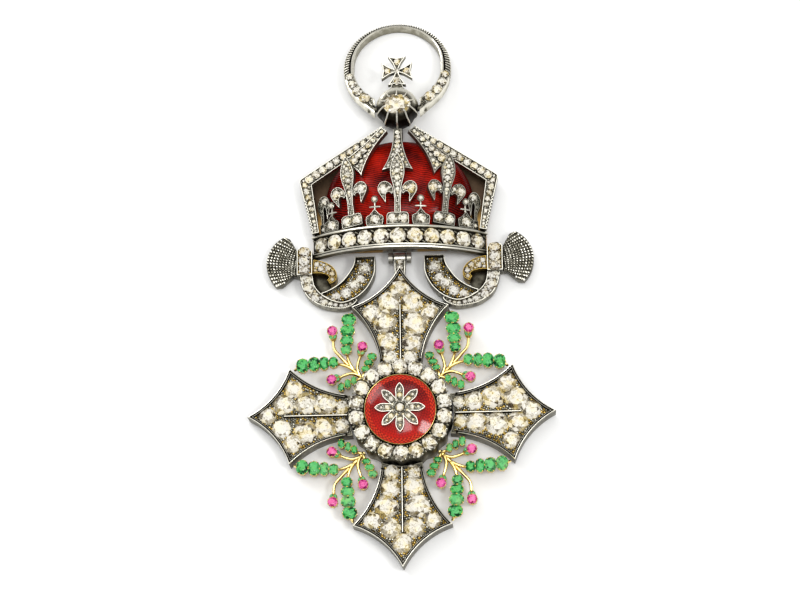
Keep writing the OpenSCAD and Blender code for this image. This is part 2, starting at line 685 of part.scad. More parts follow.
// Outer arches: from the orb to the shoulder, then down the post to the circlet
post_foot_w = 1.25;
post_notches = 9;
top_notches = 5;
notch_d = 0.22;
far_base_z = 1.1;
far_low_z = 2.6;
far_shoulder = [shoulder_w / 2 - far_arch_w / 2, crown_y + shoulder_rise - far_arch_w / 2];
far_top = [orb_r * 0.66, orb_y - orb_r + 0.35];
far_foot = [circlet_w / 2 - 0.2 - post_foot_w / 2, crown_y + seat_gap + 0.12 * post_foot_w];
// An edge from p to q with milled notches on its right-hand side
function milled(p, q, n) = let(d = (q - p) / n, inward = unit([d.y, -d.x]) * notch_d)
    [for (i = [0 : n - 1]) each [p + d * (i + 0.1), p + d * (i + 0.5) + inward, p + d * (i + 0.9)]];
module arch_far(side) {
    d1 = unit(far_shoulder - far_top);
    d2 = unit(far_foot - far_shoulder);
    n1 = [-d1.y, d1.x];
    n2 = [-d2.y, d2.x];
    corner = unit(n1 + n2) * far_arch_w / 2 / (unit(n1 + n2) * n1);
    start = n1 * far_arch_w * 0.42;
    foot = n2 * post_foot_w / 2;
    o0 = far_top + start;
    o1 = far_shoulder + corner;
    o2 = far_foot + foot;
    i1 = far_shoulder - corner;
    color(silver) mirror([side < 0 ? 1 : 0, 0, 0]) union() {
        translate([0, 0, far_low_z]) linear_extrude(far_arch_top - far_low_z)
            polygon(concat([o0], milled(o0, mix(o0, o1, 0.3), top_notches), [o1],
                milled(mix(o1, o2, 0.4), o2, post_notches), [o2, far_foot - foot, i1,
                far_top - start]));
        // The post reaches lower than the arch, which passes over the cap
        translate([0, 0, far_base_z]) linear_extrude(far_low_z - far_base_z + 0.2)
            polygon([o1 - [0.3, 0.3], o2 - [0.3, 0], far_foot - foot, i1]);
    }
}

// Stones on each arch: how many, where they start and end along it, and their diameters there
arch_rows = [[6, 0.10, 0.68, 0.8, 0.92], [6, 0.17, 0.85, 0.8, 1.26], [6, 0.17, 0.85, 0.8, 1.26]];
far_row = [10, 0.18, 0.95, 0.95, 1.3];
function row_at(row, k, a) = mix(row[a], row[a + 1], k / (row[0] - 1));
module arch_diamonds() {
    color(diamond) {
        for (i = [0 : 2]) arch_place(i)
            for (k = [0 : arch_rows[i][0] - 1])
                let(t = row_at(arch_rows[i], k, 1), d = row_at(arch_rows[i], k, 3))
                    translate([0, norm(arch_to(i) - arch_from(i)) * t,
                        arch_t + stone_lift + d * back_share]) gem(d, d);
        for (m = [0, 1]) mirror([m, 0, 0])
            for (k = [0 : far_row[0] - 1])
                let(p = mix(far_top, far_shoulder, row_at(far_row, k, 1)), d = row_at(far_row, k, 3))
                    translate([p.x, p.y, far_arch_top + stone_lift + d * back_share]) gem(d, d);
    }
}

// A fleur in its own plane, from its foot up to its point, with a curled petal on each side.
// The right half of its outline is in shares of half of fleur_w across and of fleur_h upwards.
fleur_half = [[0.56, 0], [0.56, 0.12], [0.47, 0.155], [0.12, 0.165], [0.11, 0.30], [0.15, 0.385],
    [0.25, 0.392], [0.32, 0.424], [0.40, 0.446], [0.51, 0.442], [0.58, 0.413], [0.57, 0.37],
    [0.625, 0.33], [0.72, 0.345], [0.85, 0.385], [0.96, 0.44], [1, 0.50], [0.97, 0.547],
    [0.83, 0.583], [0.64, 0.59], [0.44, 0.558], [0.30, 0.507], [0.24, 0.515], [0.27, 0.57],
    [0.335, 0.67], [0.345, 0.74], [0.29, 0.83], [0.17, 0.92]];
module fleur_shape() {
    half = [for (p = fleur_half) [p.x * fleur_w / 2, p.y * fleur_h]];
    linear_extrude(fleur_t) polygon(concat(half, [[0, fleur_h]], reversed(mirrored(half))));
}
fleur_turns = circlet_turn * [0, -0.482, 0.482];
fleur_lean = 6;
fleur_r = circlet_r - fleur_t - 0.1;
module fleur(i) {
    color(silver) on_circlet(fleur_turns[i], crown_y + seat_gap, fleur_r)
        rotate([0, 0, -sign(fleur_turns[i]) * fleur_lean])
            translate([0, abs(sign(fleur_turns[i])) * sin(fleur_lean) * fleur_w * 0.28, 0])
                fleur_shape();
}
// Half fleurs beside the posts, in the same shares. They stand on the circlet and clear the cap,
// whose round front reaches this far from its middle on their side.
half_fleur_turn = circlet_turn * 0.8915;
cap_reach = sqrt(pow(cap_w / 2 * sin(half_fleur_turn), 2) + pow(cap_bulge * cos(half_fleur_turn), 2));
half_fleur_r = max(circlet_r - fleur_t - 0.9,
    cap_reach + (back_t + seat_gap - axis_z) * cos(half_fleur_turn) + seat_gap);
half_fleur_line = [[-0.19, 0], [0.15, 0], [0.15, 0.12], [0.12, 0.13], [0.12, 0.25], [0.30, 0.34],
    [0.28, 0.45], [0.08, 0.53], [-0.20, 0.53], [-0.38, 0.45], [-0.42, 0.35], [-0.32, 0.24],
    [-0.22, 0.27], [-0.20, 0.34], [-0.10, 0.39], [-0.01, 0.34], [-0.08, 0.25], [-0.08, 0.13],
    [-0.19, 0.12]];
module fleur_far(side) {
    color(silver) mirror([side < 0 ? 1 : 0, 0, 0])
        on_circlet(half_fleur_turn, crown_y + seat_gap, half_fleur_r) linear_extrude(fleur_t)
            polygon([for (p = half_fleur_line) [p.x * fleur_w / 2, p.y * fleur_h]]);
}

// Pearl mounts: a gabled foot, a neck with its bar, and the ball
pearl_turns = circlet_turn * [-0.737, -0.241, 0.241, 0.737];
module pearl_mount(i) {
    half = pearl_w / 2;
    ball = pearl_h * 0.115;
    color(silver) on_circlet(pearl_turns[i], crown_y + seat_gap, fleur_r) union() {
        linear_extrude(fleur_t) union() {
            polygon([[-half * 0.92, 0], [half * 0.92, 0], [half, pearl_h * 0.3], [0.15, pearl_h * 0.56],
                [0.15, pearl_h * 0.8], [-0.15, pearl_h * 0.8], [-0.15, pearl_h * 0.56],
                [-half, pearl_h * 0.3]]);
            translate([-half * 0.62, pearl_h * 0.6]) square([half * 1.24, pearl_h * 0.06]);
        }
        translate([0, pearl_h - ball, fleur_t * 0.6]) sphere(r = ball);
    }
}

// ORB AND RING

orb_flat = 0.62;
module orb() {
    pin_len = side_gap + ring_end_w * 0.9;
    color(silver) translate([0, orb_y, orb_z]) difference() {
        union() {
            sphere(r = orb_r);
            translate([-orb_r - pin_len, 0, 0]) rotate([0, 90, 0])
                cylinder(r = pivot_r, h = 2 * (orb_r + pin_len));
        }
        translate([-orb_r, -orb_r, orb_r * orb_flat]) cube([2 * orb_r, 2 * orb_r, orb_r]);
        translate([0, 0, orb_r * orb_flat]) seat(orb_stone_w, orb_stone_h);
    }
}
module orb_diamond() {
    color(diamond) translate([0, orb_y, orb_z + orb_r * orb_flat + 1.5 * stone_lift])
        gem(orb_stone_w, orb_stone_h);
}
// A small cross with flared arms on a short foot
module orb_cross() {
    half = orb_cross_w / 2;
    foot_y = sqrt(orb_r * orb_r - 1) + seat_gap;
    mid = half + orb_r + 0.55;
    color(silver) translate([0, orb_y, orb_z - orb_cross_t / 2]) difference() {
        linear_extrude(orb_cross_t) union() {
            for (a = [0 : 90 : 270])
                translate([0, mid]) rotate(a) polygon([[0, -0.35], [half * 0.5, -half * 0.24],
                    [half, -half * 0.55], [half * 0.93, 0], [half, half * 0.55],
                    [half * 0.5, half * 0.24], [0, 0.35]]);
            polygon([[-0.95, foot_y - 0.6], [0.95, foot_y - 0.6], [0.5, mid - half * 0.6],
                [-0.5, mid - half * 0.6]]);
        }
        translate([0, 0, orb_cross_t / 2]) sphere(r = orb_r + seat_gap);
    }
}
// The ring's own plane has its origin on the pivot and Y towards the ring's top.
// The bore is longer than it is wide, and the ends are cut straight beside the orb.
ring_gap_half = orb_r + side_gap;
ring_end_w = 1.5;
bore_low = 0.2;
bore_high = 1.2;
module ring_place() {
    translate([0, orb_y, orb_z]) rotate([-ring_tilt, 0, 0]) children();
}
module suspension_ring() {
    bore_r = ring_bore / 2;
    corner = ring_r * sin(45);
    chin = ring_throw - corner - (corner - ring_gap_half);
    color(silver) ring_place() difference() {
        translate([0, 0, -ring_t / 2]) linear_extrude(ring_t) difference() {
            union() {
                translate([0, ring_throw]) circle(r = ring_r, $fn = 128);
                polygon([[-corner, ring_throw - corner], [-ring_gap_half, chin],
                    [ring_gap_half, chin], [corner, ring_throw - corner]]);
            }
            translate([0, ring_throw + bore_low]) circle(r = bore_r, $fn = 128);
            translate([0, ring_throw + bore_high]) circle(r = bore_r, $fn = 128);
            translate([-ring_gap_half, chin - 1]) square([2 * ring_gap_half, ring_throw]);
        }
        rotate([0, 90, 0]) cylinder(r = pivot_r + run_gap, h = 4 * ring_r, center = true);
    }
}
ring_stones = [[192.5, 1.35], [203.5, 1.6], [215.5, 1.8], [228.5, 1.95]];
module ring_diamonds() {
    color(diamond) ring_place()
        for (m = [0, 1]) mirror([m, 0, 0])
            for (s = ring_stones) {
                p = polar(ring_r - 0.9, s[0]);
                translate([p.x, ring_throw + p.y, ring_t / 2 + stone_lift + s[1] * back_share])
                    gem(s[1], s[1]);
            }
}

// RIBBONS

// Chosen points of the strands: share of the ribbon's width from the inner strand,
// and share of its drop below the circlet. The right-hand ribbon is drawn.
inner_strand = [[0.058, -0.2], [0.06, 0.09], [0.098, 0.36], [0.195, 0.526], [0.308, 0.687],
    [0.451, 0.78], [0.60, 0.77], [0.714, 0.68]];
outer_strand = [[0.872, 0.30], [0.872, 0.42], [0.853, 0.573], [0.782, 0.745], [0.669, 0.854],
    [0.526, 0.93], [0.40, 0.915], [0.265, 0.825], [0.14, 0.66], [0.05, 0.47]];
scroll_mid = [0.579, 0.297];
strand_rim = 0.3;
strand_step = 0.4;
ribbon_z = back_t + seat_gap;
function ribbon_point(p) = [ribbon_in + p.x * ribbon_w, circlet_y - p.y * ribbon_drop];
function ribbon_line(l) = smooth([for (p = l) ribbon_point(p)], 4);
collar_w = 2.8;
collar_h = 5;
collar_rise = 1.65;
collar_x = ribbon_in + ribbon_w - collar_w / 2;
ribbon_h = ribbon_top - ribbon_z;
// A strand with a stone channel between two rims along the first share of its line
module strand(line, w0, w1, h, share) {
    n = len(line) - 1;
    last = round(n * share);
    difference() {
        linear_extrude(h) polygon(strip(line, w0, w1));
        translate([0, 0, h - channel_t]) linear_extrude(h)
            polygon(strip([for (i = [1 : last]) line[i]], mix(w0, w1, 1 / n) - 2 * strand_rim,
                mix(w0, w1, last / n) - 2 * strand_rim));
    }
}
module ribbon_right_body() {
    scroll = ribbon_point(scroll_mid);
    difference() {
        translate([0, 0, ribbon_z]) union() {
            strand(ribbon_line(inner_strand), strand_w, strand_w * 0.6, ribbon_h - strand_step, 0.9);
            strand(ribbon_line(outer_strand), outer_w, 0.3, ribbon_h, 0.56);
            translate([collar_x - collar_w / 2, circlet_y + collar_rise - collar_h])
                cube([collar_w, collar_h, ribbon_h + 0.2]);
            translate(scroll) cylinder(r = scroll_r, h = ribbon_h - 0.1);
            translate([scroll.x, scroll.y - 0.4 * scroll_r])
                cube([collar_x - scroll.x, 1.2 * scroll_r, ribbon_h - 0.5]);
        }
        // The circlet's end passes above the ribbon
        translate([0, circlet_y - seat_gap, axis_z]) rotate([-90, 0, 0])
            difference() {
                cylinder(r = circlet_r + 1, h = circlet_h + 2, $fn = 128);
                translate([0, 0, -1])
                    cylinder(r = circlet_r - circlet_t - seat_gap, h = circlet_h + 4, $fn = 128);
            }
    }
}
module ribbon_right() {
    color(silver) ribbon_right_body();
}
module ribbon_left() {
    color(silver) mirror([1, 0, 0]) ribbon_right_body();
}
// Stones along the strands and on the collar: share of the line, and diameter
inner_stones = [[0.215, 1.7], [0.345, 1.5], [0.47, 1.6], [0.60, 1.6], [0.73, 1.35]];
outer_stones = [[0.12, 1.6], [0.245, 1.5], [0.365, 1.35], [0.475, 1.1]];
collar_stone_d = 1.5;
// The point at a share of the way along a line
function along(l, t) = let(x = t * (len(l) - 1), i = min(floor(x), len(l) - 2)) mix(l[i], l[i + 1], x - i);
module ribbon_stones() {
    inner = ribbon_line(inner_strand);
    outer = ribbon_line(outer_strand);
    floor_z = ribbon_top - channel_t + stone_lift;
    for (s = inner_stones)
        translate(concat(along(inner, s[0]), [floor_z - strand_step + s[1] * back_share]))
            gem(s[1], s[1]);
    for (s = outer_stones)
        translate(concat(along(outer, s[0]), [floor_z + s[1] * back_share])) gem(s[1], s[1]);
    for (k = [0 : 2])
        translate([collar_x, circlet_y + collar_rise - collar_h * (k + 0.5) / 3,
            ribbon_top + 0.2 + stone_lift + collar_stone_d * back_share])
            gem(collar_stone_d, collar_stone_d);
}
module ribbon_right_diamonds() {
    color(diamond) ribbon_stones();
}
module ribbon_left_diamonds() {
    color(diamond) mirror([1, 0, 0]) ribbon_stones();
}
// The fringe fans out from the collar, turned a little upwards, with a round outer edge
fringe_turn = 9;
fringe_bow = 2.5;
module fringe(side) {
    half = fringe_w / 2;
    r = (half * half + fringe_bow * fringe_bow) / (2 * fringe_bow);
    a = asin(half / r);
    edge = arc([fringe_len - r, 0], r, a, -a, 12);
    root = collar_h * 0.48;
    color(silver) mirror([side < 0 ? 1 : 0, 0, 0])
        translate([ribbon_in + ribbon_w + seat_gap, circlet_y + collar_rise - collar_h / 2, ribbon_z])
            linear_extrude(fringe_t) difference() {
                rotate(fringe_turn) polygon(concat([[-1, -root], [-1, root], [0.3, root],
                    [fringe_len * 0.36, half * 0.93]], edge, [[fringe_len * 0.36, -half * 0.93],
                    [0.3, -root]]));
                translate([-4, -fringe_w]) square([4, 2 * fringe_w]);
            }
}

crown_back();
circlet();
circlet_diamonds();
cap_enamel();
arch(0);  // arch_centre
arch(1);  // arch_left
arch(2);  // arch_right
arch_far(-1);  // arch_far_left
arch_far(1);  // arch_far_right
arch_diamonds();
fleur(0);  // fleur_centre
fleur(1);  // fleur_left
fleur(2);  // fleur_right
fleur_far(-1);  // fleur_far_left
fleur_far(1);  // fleur_far_right
pearl_mount(0);  // pearl_mount_1
pearl_mount(1);  // pearl_mount_2
pearl_mount(2);  // pearl_mount_3
pearl_mount(3);  // pearl_mount_4
orb();
orb_diamond();
orb_cross();
ribbon_left();
ribbon_right();
ribbon_left_diamonds();
ribbon_right_diamonds();
fringe(-1);  // fringe_left
fringe(1);  // fringe_right
arm_top();
arm_left();
arm_right();
arm_bottom();
arm_gems(0);  // arm_top_diamonds
arm_gems(1);  // arm_left_diamonds
arm_gems(2);  // arm_right_diamonds
arm_gems(3);  // arm_bottom_diamonds
hub();
cluster_diamonds();
medallion_rim();
medallion_enamel();
rosette();
spray(0);  // spray_1
spray(1);  // spray_2
spray(2);  // spray_3
spray(3);  // spray_4
emeralds(0);  // emeralds_1
emeralds(1);  // emeralds_2
emeralds(2);  // emeralds_3
emeralds(3);  // emeralds_4
rubies();
suspension_ring();
ring_diamonds();
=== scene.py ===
# An order neck badge in silver, gold, enamel and cut stones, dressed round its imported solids.
import json
import math
import bmesh
import bpy
import numpy as np
from mathutils import Matrix, Vector


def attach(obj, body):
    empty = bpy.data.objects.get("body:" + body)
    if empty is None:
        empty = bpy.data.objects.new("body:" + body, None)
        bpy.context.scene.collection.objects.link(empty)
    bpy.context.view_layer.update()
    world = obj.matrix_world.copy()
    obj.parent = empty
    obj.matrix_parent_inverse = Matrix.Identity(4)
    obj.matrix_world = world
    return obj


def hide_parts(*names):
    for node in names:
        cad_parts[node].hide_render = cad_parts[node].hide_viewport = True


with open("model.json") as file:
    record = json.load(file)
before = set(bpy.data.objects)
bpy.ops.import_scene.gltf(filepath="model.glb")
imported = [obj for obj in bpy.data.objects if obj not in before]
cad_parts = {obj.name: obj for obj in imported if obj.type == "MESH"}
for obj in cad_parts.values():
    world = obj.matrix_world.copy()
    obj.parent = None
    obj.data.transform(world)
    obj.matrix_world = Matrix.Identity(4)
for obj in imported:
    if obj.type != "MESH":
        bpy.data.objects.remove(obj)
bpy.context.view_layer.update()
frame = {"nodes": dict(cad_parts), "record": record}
print("frame loaded:", len(frame["nodes"]), "nodes")

# all shapes are in mm until makePiece turns them to metres
rng = np.random.default_rng(7)
tau = 2 * math.pi
xAxis, zAxis = np.array([1.0, 0, 0]), np.array([0, 0, 1.0])


def deg(a):
    # cosine and sine of an angle in degrees
    return np.cos(np.radians(a)), np.sin(np.radians(a))


def around(n):
    # n even steps of a full turn
    return np.arange(n) / n * tau


def polar(r, a, z):
    # points at a distance r from Z, a turn a and a height z
    r, a, z = np.broadcast_arrays(r, a, z)
    return np.stack([r * np.cos(a), r * np.sin(a), z], -1)


def raised(flat, z):
    # points of a plane, lifted to a height
    return np.column_stack([flat, np.broadcast_to(z, len(flat))])


def unit(v):
    # each row at length 1
    return v / np.linalg.norm(v, axis=-1, keepdims=True)


def signedVolume(points, faces):
    # sums the tetrahedra from the middle to each triangle of each face's fan
    p = points - points.mean(0)
    total = 0.0
    for f in faces:
        for k in range(1, f.shape[1] - 1):
            total += np.einsum("ij,ij->", p[f[:, 0]], np.cross(p[f[:, k]], p[f[:, k + 1]]))
    return total


def part(points, faces, worn=1.0, finish="silver", tone=0.5, hue=0.5):
    # a closed form: faces is a list of arrays, one for each number of corners; it is turned to face outwards
    points = np.asarray(points, float)
    faces = [np.atleast_2d(np.asarray(f, int)) for f in faces if len(f)]
    if signedVolume(points, faces) < 0:
        faces = [f[:, ::-1] for f in faces]
    count = sum(len(f) for f in faces)
    return {"points": points, "faces": faces, "finish": finish,
            "worn": np.broadcast_to(np.asarray(worn, float), len(points)),
            "tone": np.broadcast_to(np.asarray(tone, float), count),
            "hue": np.broadcast_to(np.asarray(hue, float), count)}


def moved(parts, m):
    # each form that there is, with each point times a 4 by 4 matrix
    return [part(p["points"] @ m[:3, :3].T + m[:3, 3], p["faces"], p["worn"], p["finish"], p["tone"], p["hue"])
            for p in parts if p]


def mirrored(parts):
    return moved(parts, np.diag([-1.0, 1, 1, 1]))


def placed(x=0, y=0, z=0, angle=0, axis="Z"):
    # a turn about an axis, then a move
    return np.array(Matrix.Translation((x, y, z)) @ Matrix.Rotation(math.radians(angle), 4, axis))


def gridFaces(rows, cols, loop=False):
    # four-cornered faces between neighbours of a grid of points whose rows are closed rings
    r = np.arange(rows if loop else rows - 1)[:, None]
    c = np.arange(cols)[None, :]
    a, b = r * cols + c, r * cols + (c + 1) % cols
    d, e = ((r + 1) % rows) * cols + c, ((r + 1) % rows) * cols + (c + 1) % cols
    return np.stack([a, b, e, d], -1).reshape(-1, 4)


def capped(points, worn=1.0, finish="silver", loop=False):
    # a grid of rings; both ends are closed by one face each, or joined to each other
    rows, cols = points.shape[:2]
    faces = [gridFaces(rows, cols, loop)]
    if not loop:
        faces.append(np.array([np.arange(cols)[::-1], (rows - 1) * cols + np.arange(cols)]))
    worn = np.broadcast_to(np.asarray(worn, float), (rows, cols)).reshape(-1)
    return part(points.reshape(-1, 3), faces, worn, finish)


def spun(profile, sides=32, worn=1.0, finish="silver", flute=0.0, flutes=0, square=0.0):
    # a profile of (radius, height) turned about Z; the radius may wave round the turn and be squared off
    profile = np.asarray(profile, float)
    a = around(sides)
    r = profile[:, :1] * (1 + flute * np.cos(flutes * a) + square * np.cos(4 * a))
    return capped(polar(r, a, profile[:, 1:]), np.reshape(worn, (-1, 1)), finish)


def tube(path, radii, sides=8, flat=1.0, worn=1.0, finish="silver"):
    # circles carried along a path, square to it; flat scales their height
    path = np.asarray(path, float)
    t = unit(np.gradient(path, axis=0))
    b = unit(np.cross(t, zAxis))
    n = np.cross(b, t)
    a = around(sides)[None, :, None]
    r = np.broadcast_to(np.asarray(radii, float), len(path))[:, None, None]
    return capped(path[:, None] + r * (b[:, None] * np.cos(a) + flat * n[:, None] * np.sin(a)), worn, finish)


def smoothLine(points, steps=4):
    # a Catmull-Rom line: each span is a cubic of its four neighbours
    p = np.asarray(points, float)
    i = np.arange(len(p) - 1)
    a, b, c, d = (p[np.clip(i + k, 0, len(p) - 1)][:, None] for k in (-1, 0, 1, 2))
    t = (np.arange(steps) / steps)[None, :, None]
    line = 0.5 * (2 * b + (c - a) * t + (2 * a - 5 * b + 4 * c - d) * t ** 2 + (3 * b - a - 3 * c + d) * t ** 3)
    return np.vstack([line.reshape(-1, p.shape[1]), p[-1:]])


def ccw(p):
    # an outline that runs counterclockwise
    p = np.asarray(p, float)
    q = np.roll(p, -1, 0)
    return p if (p[:, 0] * q[:, 1] - p[:, 1] * q[:, 0]).sum() > 0 else p[::-1]


def doubled(half):
    # half an outline and its mirror image across x = 0
    return ccw(np.vstack([half, (half * [-1, 1])[::-1][1:]]))


def stripOutline(line, w0, w1):
    # both sides of a line whose width changes evenly along it
    d = unit(np.vstack([line[1:2] - line[:1], line[2:] - line[:-2], line[-1:] - line[-2:-1]]))
    side = np.stack([-d[:, 1], d[:, 0]], 1) * np.linspace(w0, w1, len(line))[:, None] / 2
    return ccw(np.vstack([line + side, (line - side)[::-1]]))


def dense(outline, step):
    # a counterclockwise outline with points added so that no edge is longer than step
    outline = ccw(outline)
    out = []
    for a, b in zip(outline, np.roll(outline, -1, 0)):
        n = max(1, math.ceil(np.linalg.norm(b - a) / step))
        out.append(a + (b - a) * (np.arange(n) / n)[:, None])
    return np.vstack(out)


def edgeDistance(points, outline):
    # least distance from each point to the outline's edges
    ab = np.roll(outline, -1, 0) - outline
    long = np.maximum((ab ** 2).sum(1), 1e-12)
    best = np.full(len(points), 1e9)
    for k, a in enumerate(outline):
        t = np.clip(((points - a) @ ab[k]) / long[k], 0, 1)
        best = np.minimum(best, np.linalg.norm(points - a - t[:, None] * ab[k], axis=1))
    return best


def inside(points, outline):
    # counts how many edges a ray to the right crosses
    a, b = outline, np.roll(outline, -1, 0)
    x, y = points[:, :1], points[:, 1:]
    span = (a[:, 1] > y) != (b[:, 1] > y)
    rise = np.where(b[:, 1] == a[:, 1], 1e-12, b[:, 1] - a[:, 1])
    return (span & (x < (b[:, 0] - a[:, 0]) * (y - a[:, 1]) / rise + a[:, 0])).sum(1) % 2 == 1


def inset(outline, depth):
    # moves each corner inwards along its mitre; one that would cross over goes to its nearest good neighbour
    if depth == 0:
        return outline
    d0 = outline - np.roll(outline, 1, 0)
    d1 = np.roll(outline, -1, 0) - outline
    n0, n1 = (np.stack([-d[:, 1], d[:, 0]], 1) / np.linalg.norm(d, axis=1)[:, None] for d in (d0, d1))
    m = n0 + n1
    m /= np.maximum((m * n0).sum(1), 0.25)[:, None]
    line = outline + m * depth
    good = (edgeDistance(line, outline) > abs(depth) * 0.93) & (inside(line, outline) | (depth < 0))
    if good.all() or not good.any():
        return line
    n = len(outline)
    at = np.flatnonzero(good)
    gap = (np.arange(n)[:, None] - at[None, :] + n // 2) % n - n // 2
    return line[at[np.abs(gap).argmin(1)]]


def sweep(outline, profile, finish="silver", loop=False):
    # rings of the outline, each inset and lifted as one row (inset, height, wear and painted light) of the profile
    # says
    rings = [raised(inset(outline, depth), z) for depth, z, _ in profile]
    return capped(np.array(rings), np.array([row[2] for row in profile])[:, None], finish, loop)


def joined(parts):
    # several forms as one
    start = np.cumsum([0] + [len(p["points"]) for p in parts])
    return {"points": np.vstack([p["points"] for p in parts]), "finish": parts[0]["finish"],
            "faces": [f + k for p, k in zip(parts, start) for f in p["faces"]],
            **{k: np.concatenate([p[k] for p in parts]) for k in ("worn", "tone", "hue")}}


def plate(outline, z0, z1, wall=0.2, sink=0.22, finish="silver", floor=0.1):
    # a flat floor over the whole outline, and a raised rim round its edge
    bevel, side = 0.05, 0.35
    base = [(bevel, z0, side), (0, z0 + bevel, side), (0, z1 - sink, floor)]
    rim = [(0, z1 - sink, side), (0, z1 - bevel, 0.7), (bevel * 0.7, z1, 1), (wall - bevel * 0.7, z1, 1),
           (wall, z1 - bevel, 0.6), (wall, z1 - sink, 0.0)]
    return joined([sweep(outline, base, finish), sweep(outline, rim, finish, True)])


def fillRound(outline, taken, rMax, rMin, gap, margin, step=0.07):
    # packs circles: a full-sized one goes where it fits most snugly, smaller ones where most room is left
    lo, hi = outline.min(0), outline.max(0)
    gx, gy = np.meshgrid(np.arange(lo[0], hi[0], step), np.arange(lo[1], hi[1], step))
    grid = np.column_stack([gx.ravel(), gy.ravel()])
    grid = grid[inside(grid, outline)]
    room = edgeDistance(grid, outline) - margin
    for x, y, r in taken:
        room = np.minimum(room, np.hypot(grid[:, 0] - x, grid[:, 1] - y) - r - gap)
    found = []
    while room.max() > rMin and len(found) < 900:
        full = room >= rMax
        i = np.where(full, room, 1e9).argmin() if full.any() else room.argmax()
        found.append((grid[i, 0], grid[i, 1], min(room[i], rMax)))
        room = np.minimum(room, np.hypot(grid[:, 0] - grid[i, 0], grid[:, 1] - grid[i, 1]) - found[-1][2] - gap)
    return np.array(found).reshape(-1, 3)


def outwards(p, f):
    # turns each face of a small form round its middle so that its normal points away
    n = np.cross(p[f[:, 1]] - p[f[:, 0]], p[f[:, 2]] - p[f[:, 0]])
    wrong = (n * (p[f].mean(1) + [0, 0, 0.05])).sum(1) < 0
    return np.where(wrong[:, None], f[:, ::-1], f)


def cutForm(p, facets):
    # a small form of facets, each row of them with its painted light and how far that painted light strays
    groups, facetLights = [], []
    for corners in sorted({len(f) for f, _, _ in facets}):
        rows = [(np.stack(f, -1).reshape(-1, corners), mean, stray)
                for f, mean, stray in facets if len(f) == corners]
        groups.append(outwards(p, np.vstack([f for f, _, _ in rows])))
        facetLights += [np.tile([[mean, stray]], (len(f), 1)) for f, mean, stray in rows]
    return p, groups, np.vstack(facetLights)


def beadShape(sides=7):
    # a ball of three rings with a point at each end
    k = np.arange(sides)
    rings = [polar(c, around(sides), s) for c, s in map(deg, (-30, 12, 52))]
    last, nxt = 1 + 3 * sides, (k + 1) % sides
    ends = np.vstack([np.stack([0 * k, 1 + nxt, 1 + k], 1),
                      np.stack([0 * k + last, last - sides + k, last - sides + nxt], 1)])
    return np.vstack([[[0, 0, -1]], *rings, [[0, 0, 1]]]), [ends, 1 + gridFaces(3, sides)], None


def oldCut():
    # a round cut of unit width: its table shows a star, round it run stars, kites and halves to the girdle
    k = np.arange(8)
    odd, even, all16 = np.radians(22.5 + 45 * k), np.radians(45 * k), np.radians(22.5 * np.arange(16))
    high = 0.17
    p = np.vstack([polar(0.085, odd, high), polar(0.19, even, high), polar(0.285, odd, high),
                   polar(0.395, even, high * 0.62), polar(0.5, all16, 0.012), polar(0.5, all16, -0.02),
                   polar(0.22, even, -0.2), [[0, 0, -0.38]]])
    core, star, table, mid, top, low, back, tip = 0, 8, 16, 24, 32, 48, 64, 72
    before, after, prev, nxt = (2 * k - 1) % 16, (2 * k + 1) % 16, (k - 1) % 8, (k + 1) % 8
    j = np.arange(16)
    return cutForm(p, [
        ((core + prev, core + k, star + k), 0.84, 0.5), ((table + prev, star + k, table + k), 0.78, 0.6),
        ((table + prev, table + k, mid + k), 0.66, 1.2), ((mid + k, top + before, top + 2 * k), 0.52, 1.2),
        ((mid + k, top + 2 * k, top + after), 0.60, 1.2), ((back + k, low + 2 * k, low + before), 0.1, 0.1),
        ((back + k, low + after, low + 2 * k), 0.1, 0.1), ((star + k, core + k, star + nxt, table + k), 0.93, 0.4),
        ((table + k, mid + k, top + after, mid + nxt), 0.70, 1.2),
        ((back + k, 0 * k + tip, back + nxt, low + after), 0.1, 0.1),
        ((top + j, low + j, low + (j + 1) % 16, top + (j + 1) % 16), 0.3, 0.6), (tuple(core + k), 0.97, 0.3)])


def smallCut():
    # eight sides: a table, stars and bezels above the girdle, and a pointed back
    k = np.arange(8)
    nxt, tip = (k + 1) % 8, 16
    p = np.vstack([polar(0.5, np.radians(45 * k), 0.0), polar(0.29, np.radians(45 * k + 22.5), 0.15),
                   [[0, 0, -0.3]]])
    return cutForm(p, [((k, nxt, 8 + k), 0.5, 1.2), ((8 + k, nxt, 8 + nxt), 0.7, 1.2),
                       ((k, 0 * k + tip, nxt), 0.1, 0.1), (tuple(8 + k), 0.92, 0.5)])


beadForm, oldCutForm, smallCutForm = beadShape(), oldCut(), smallCut()


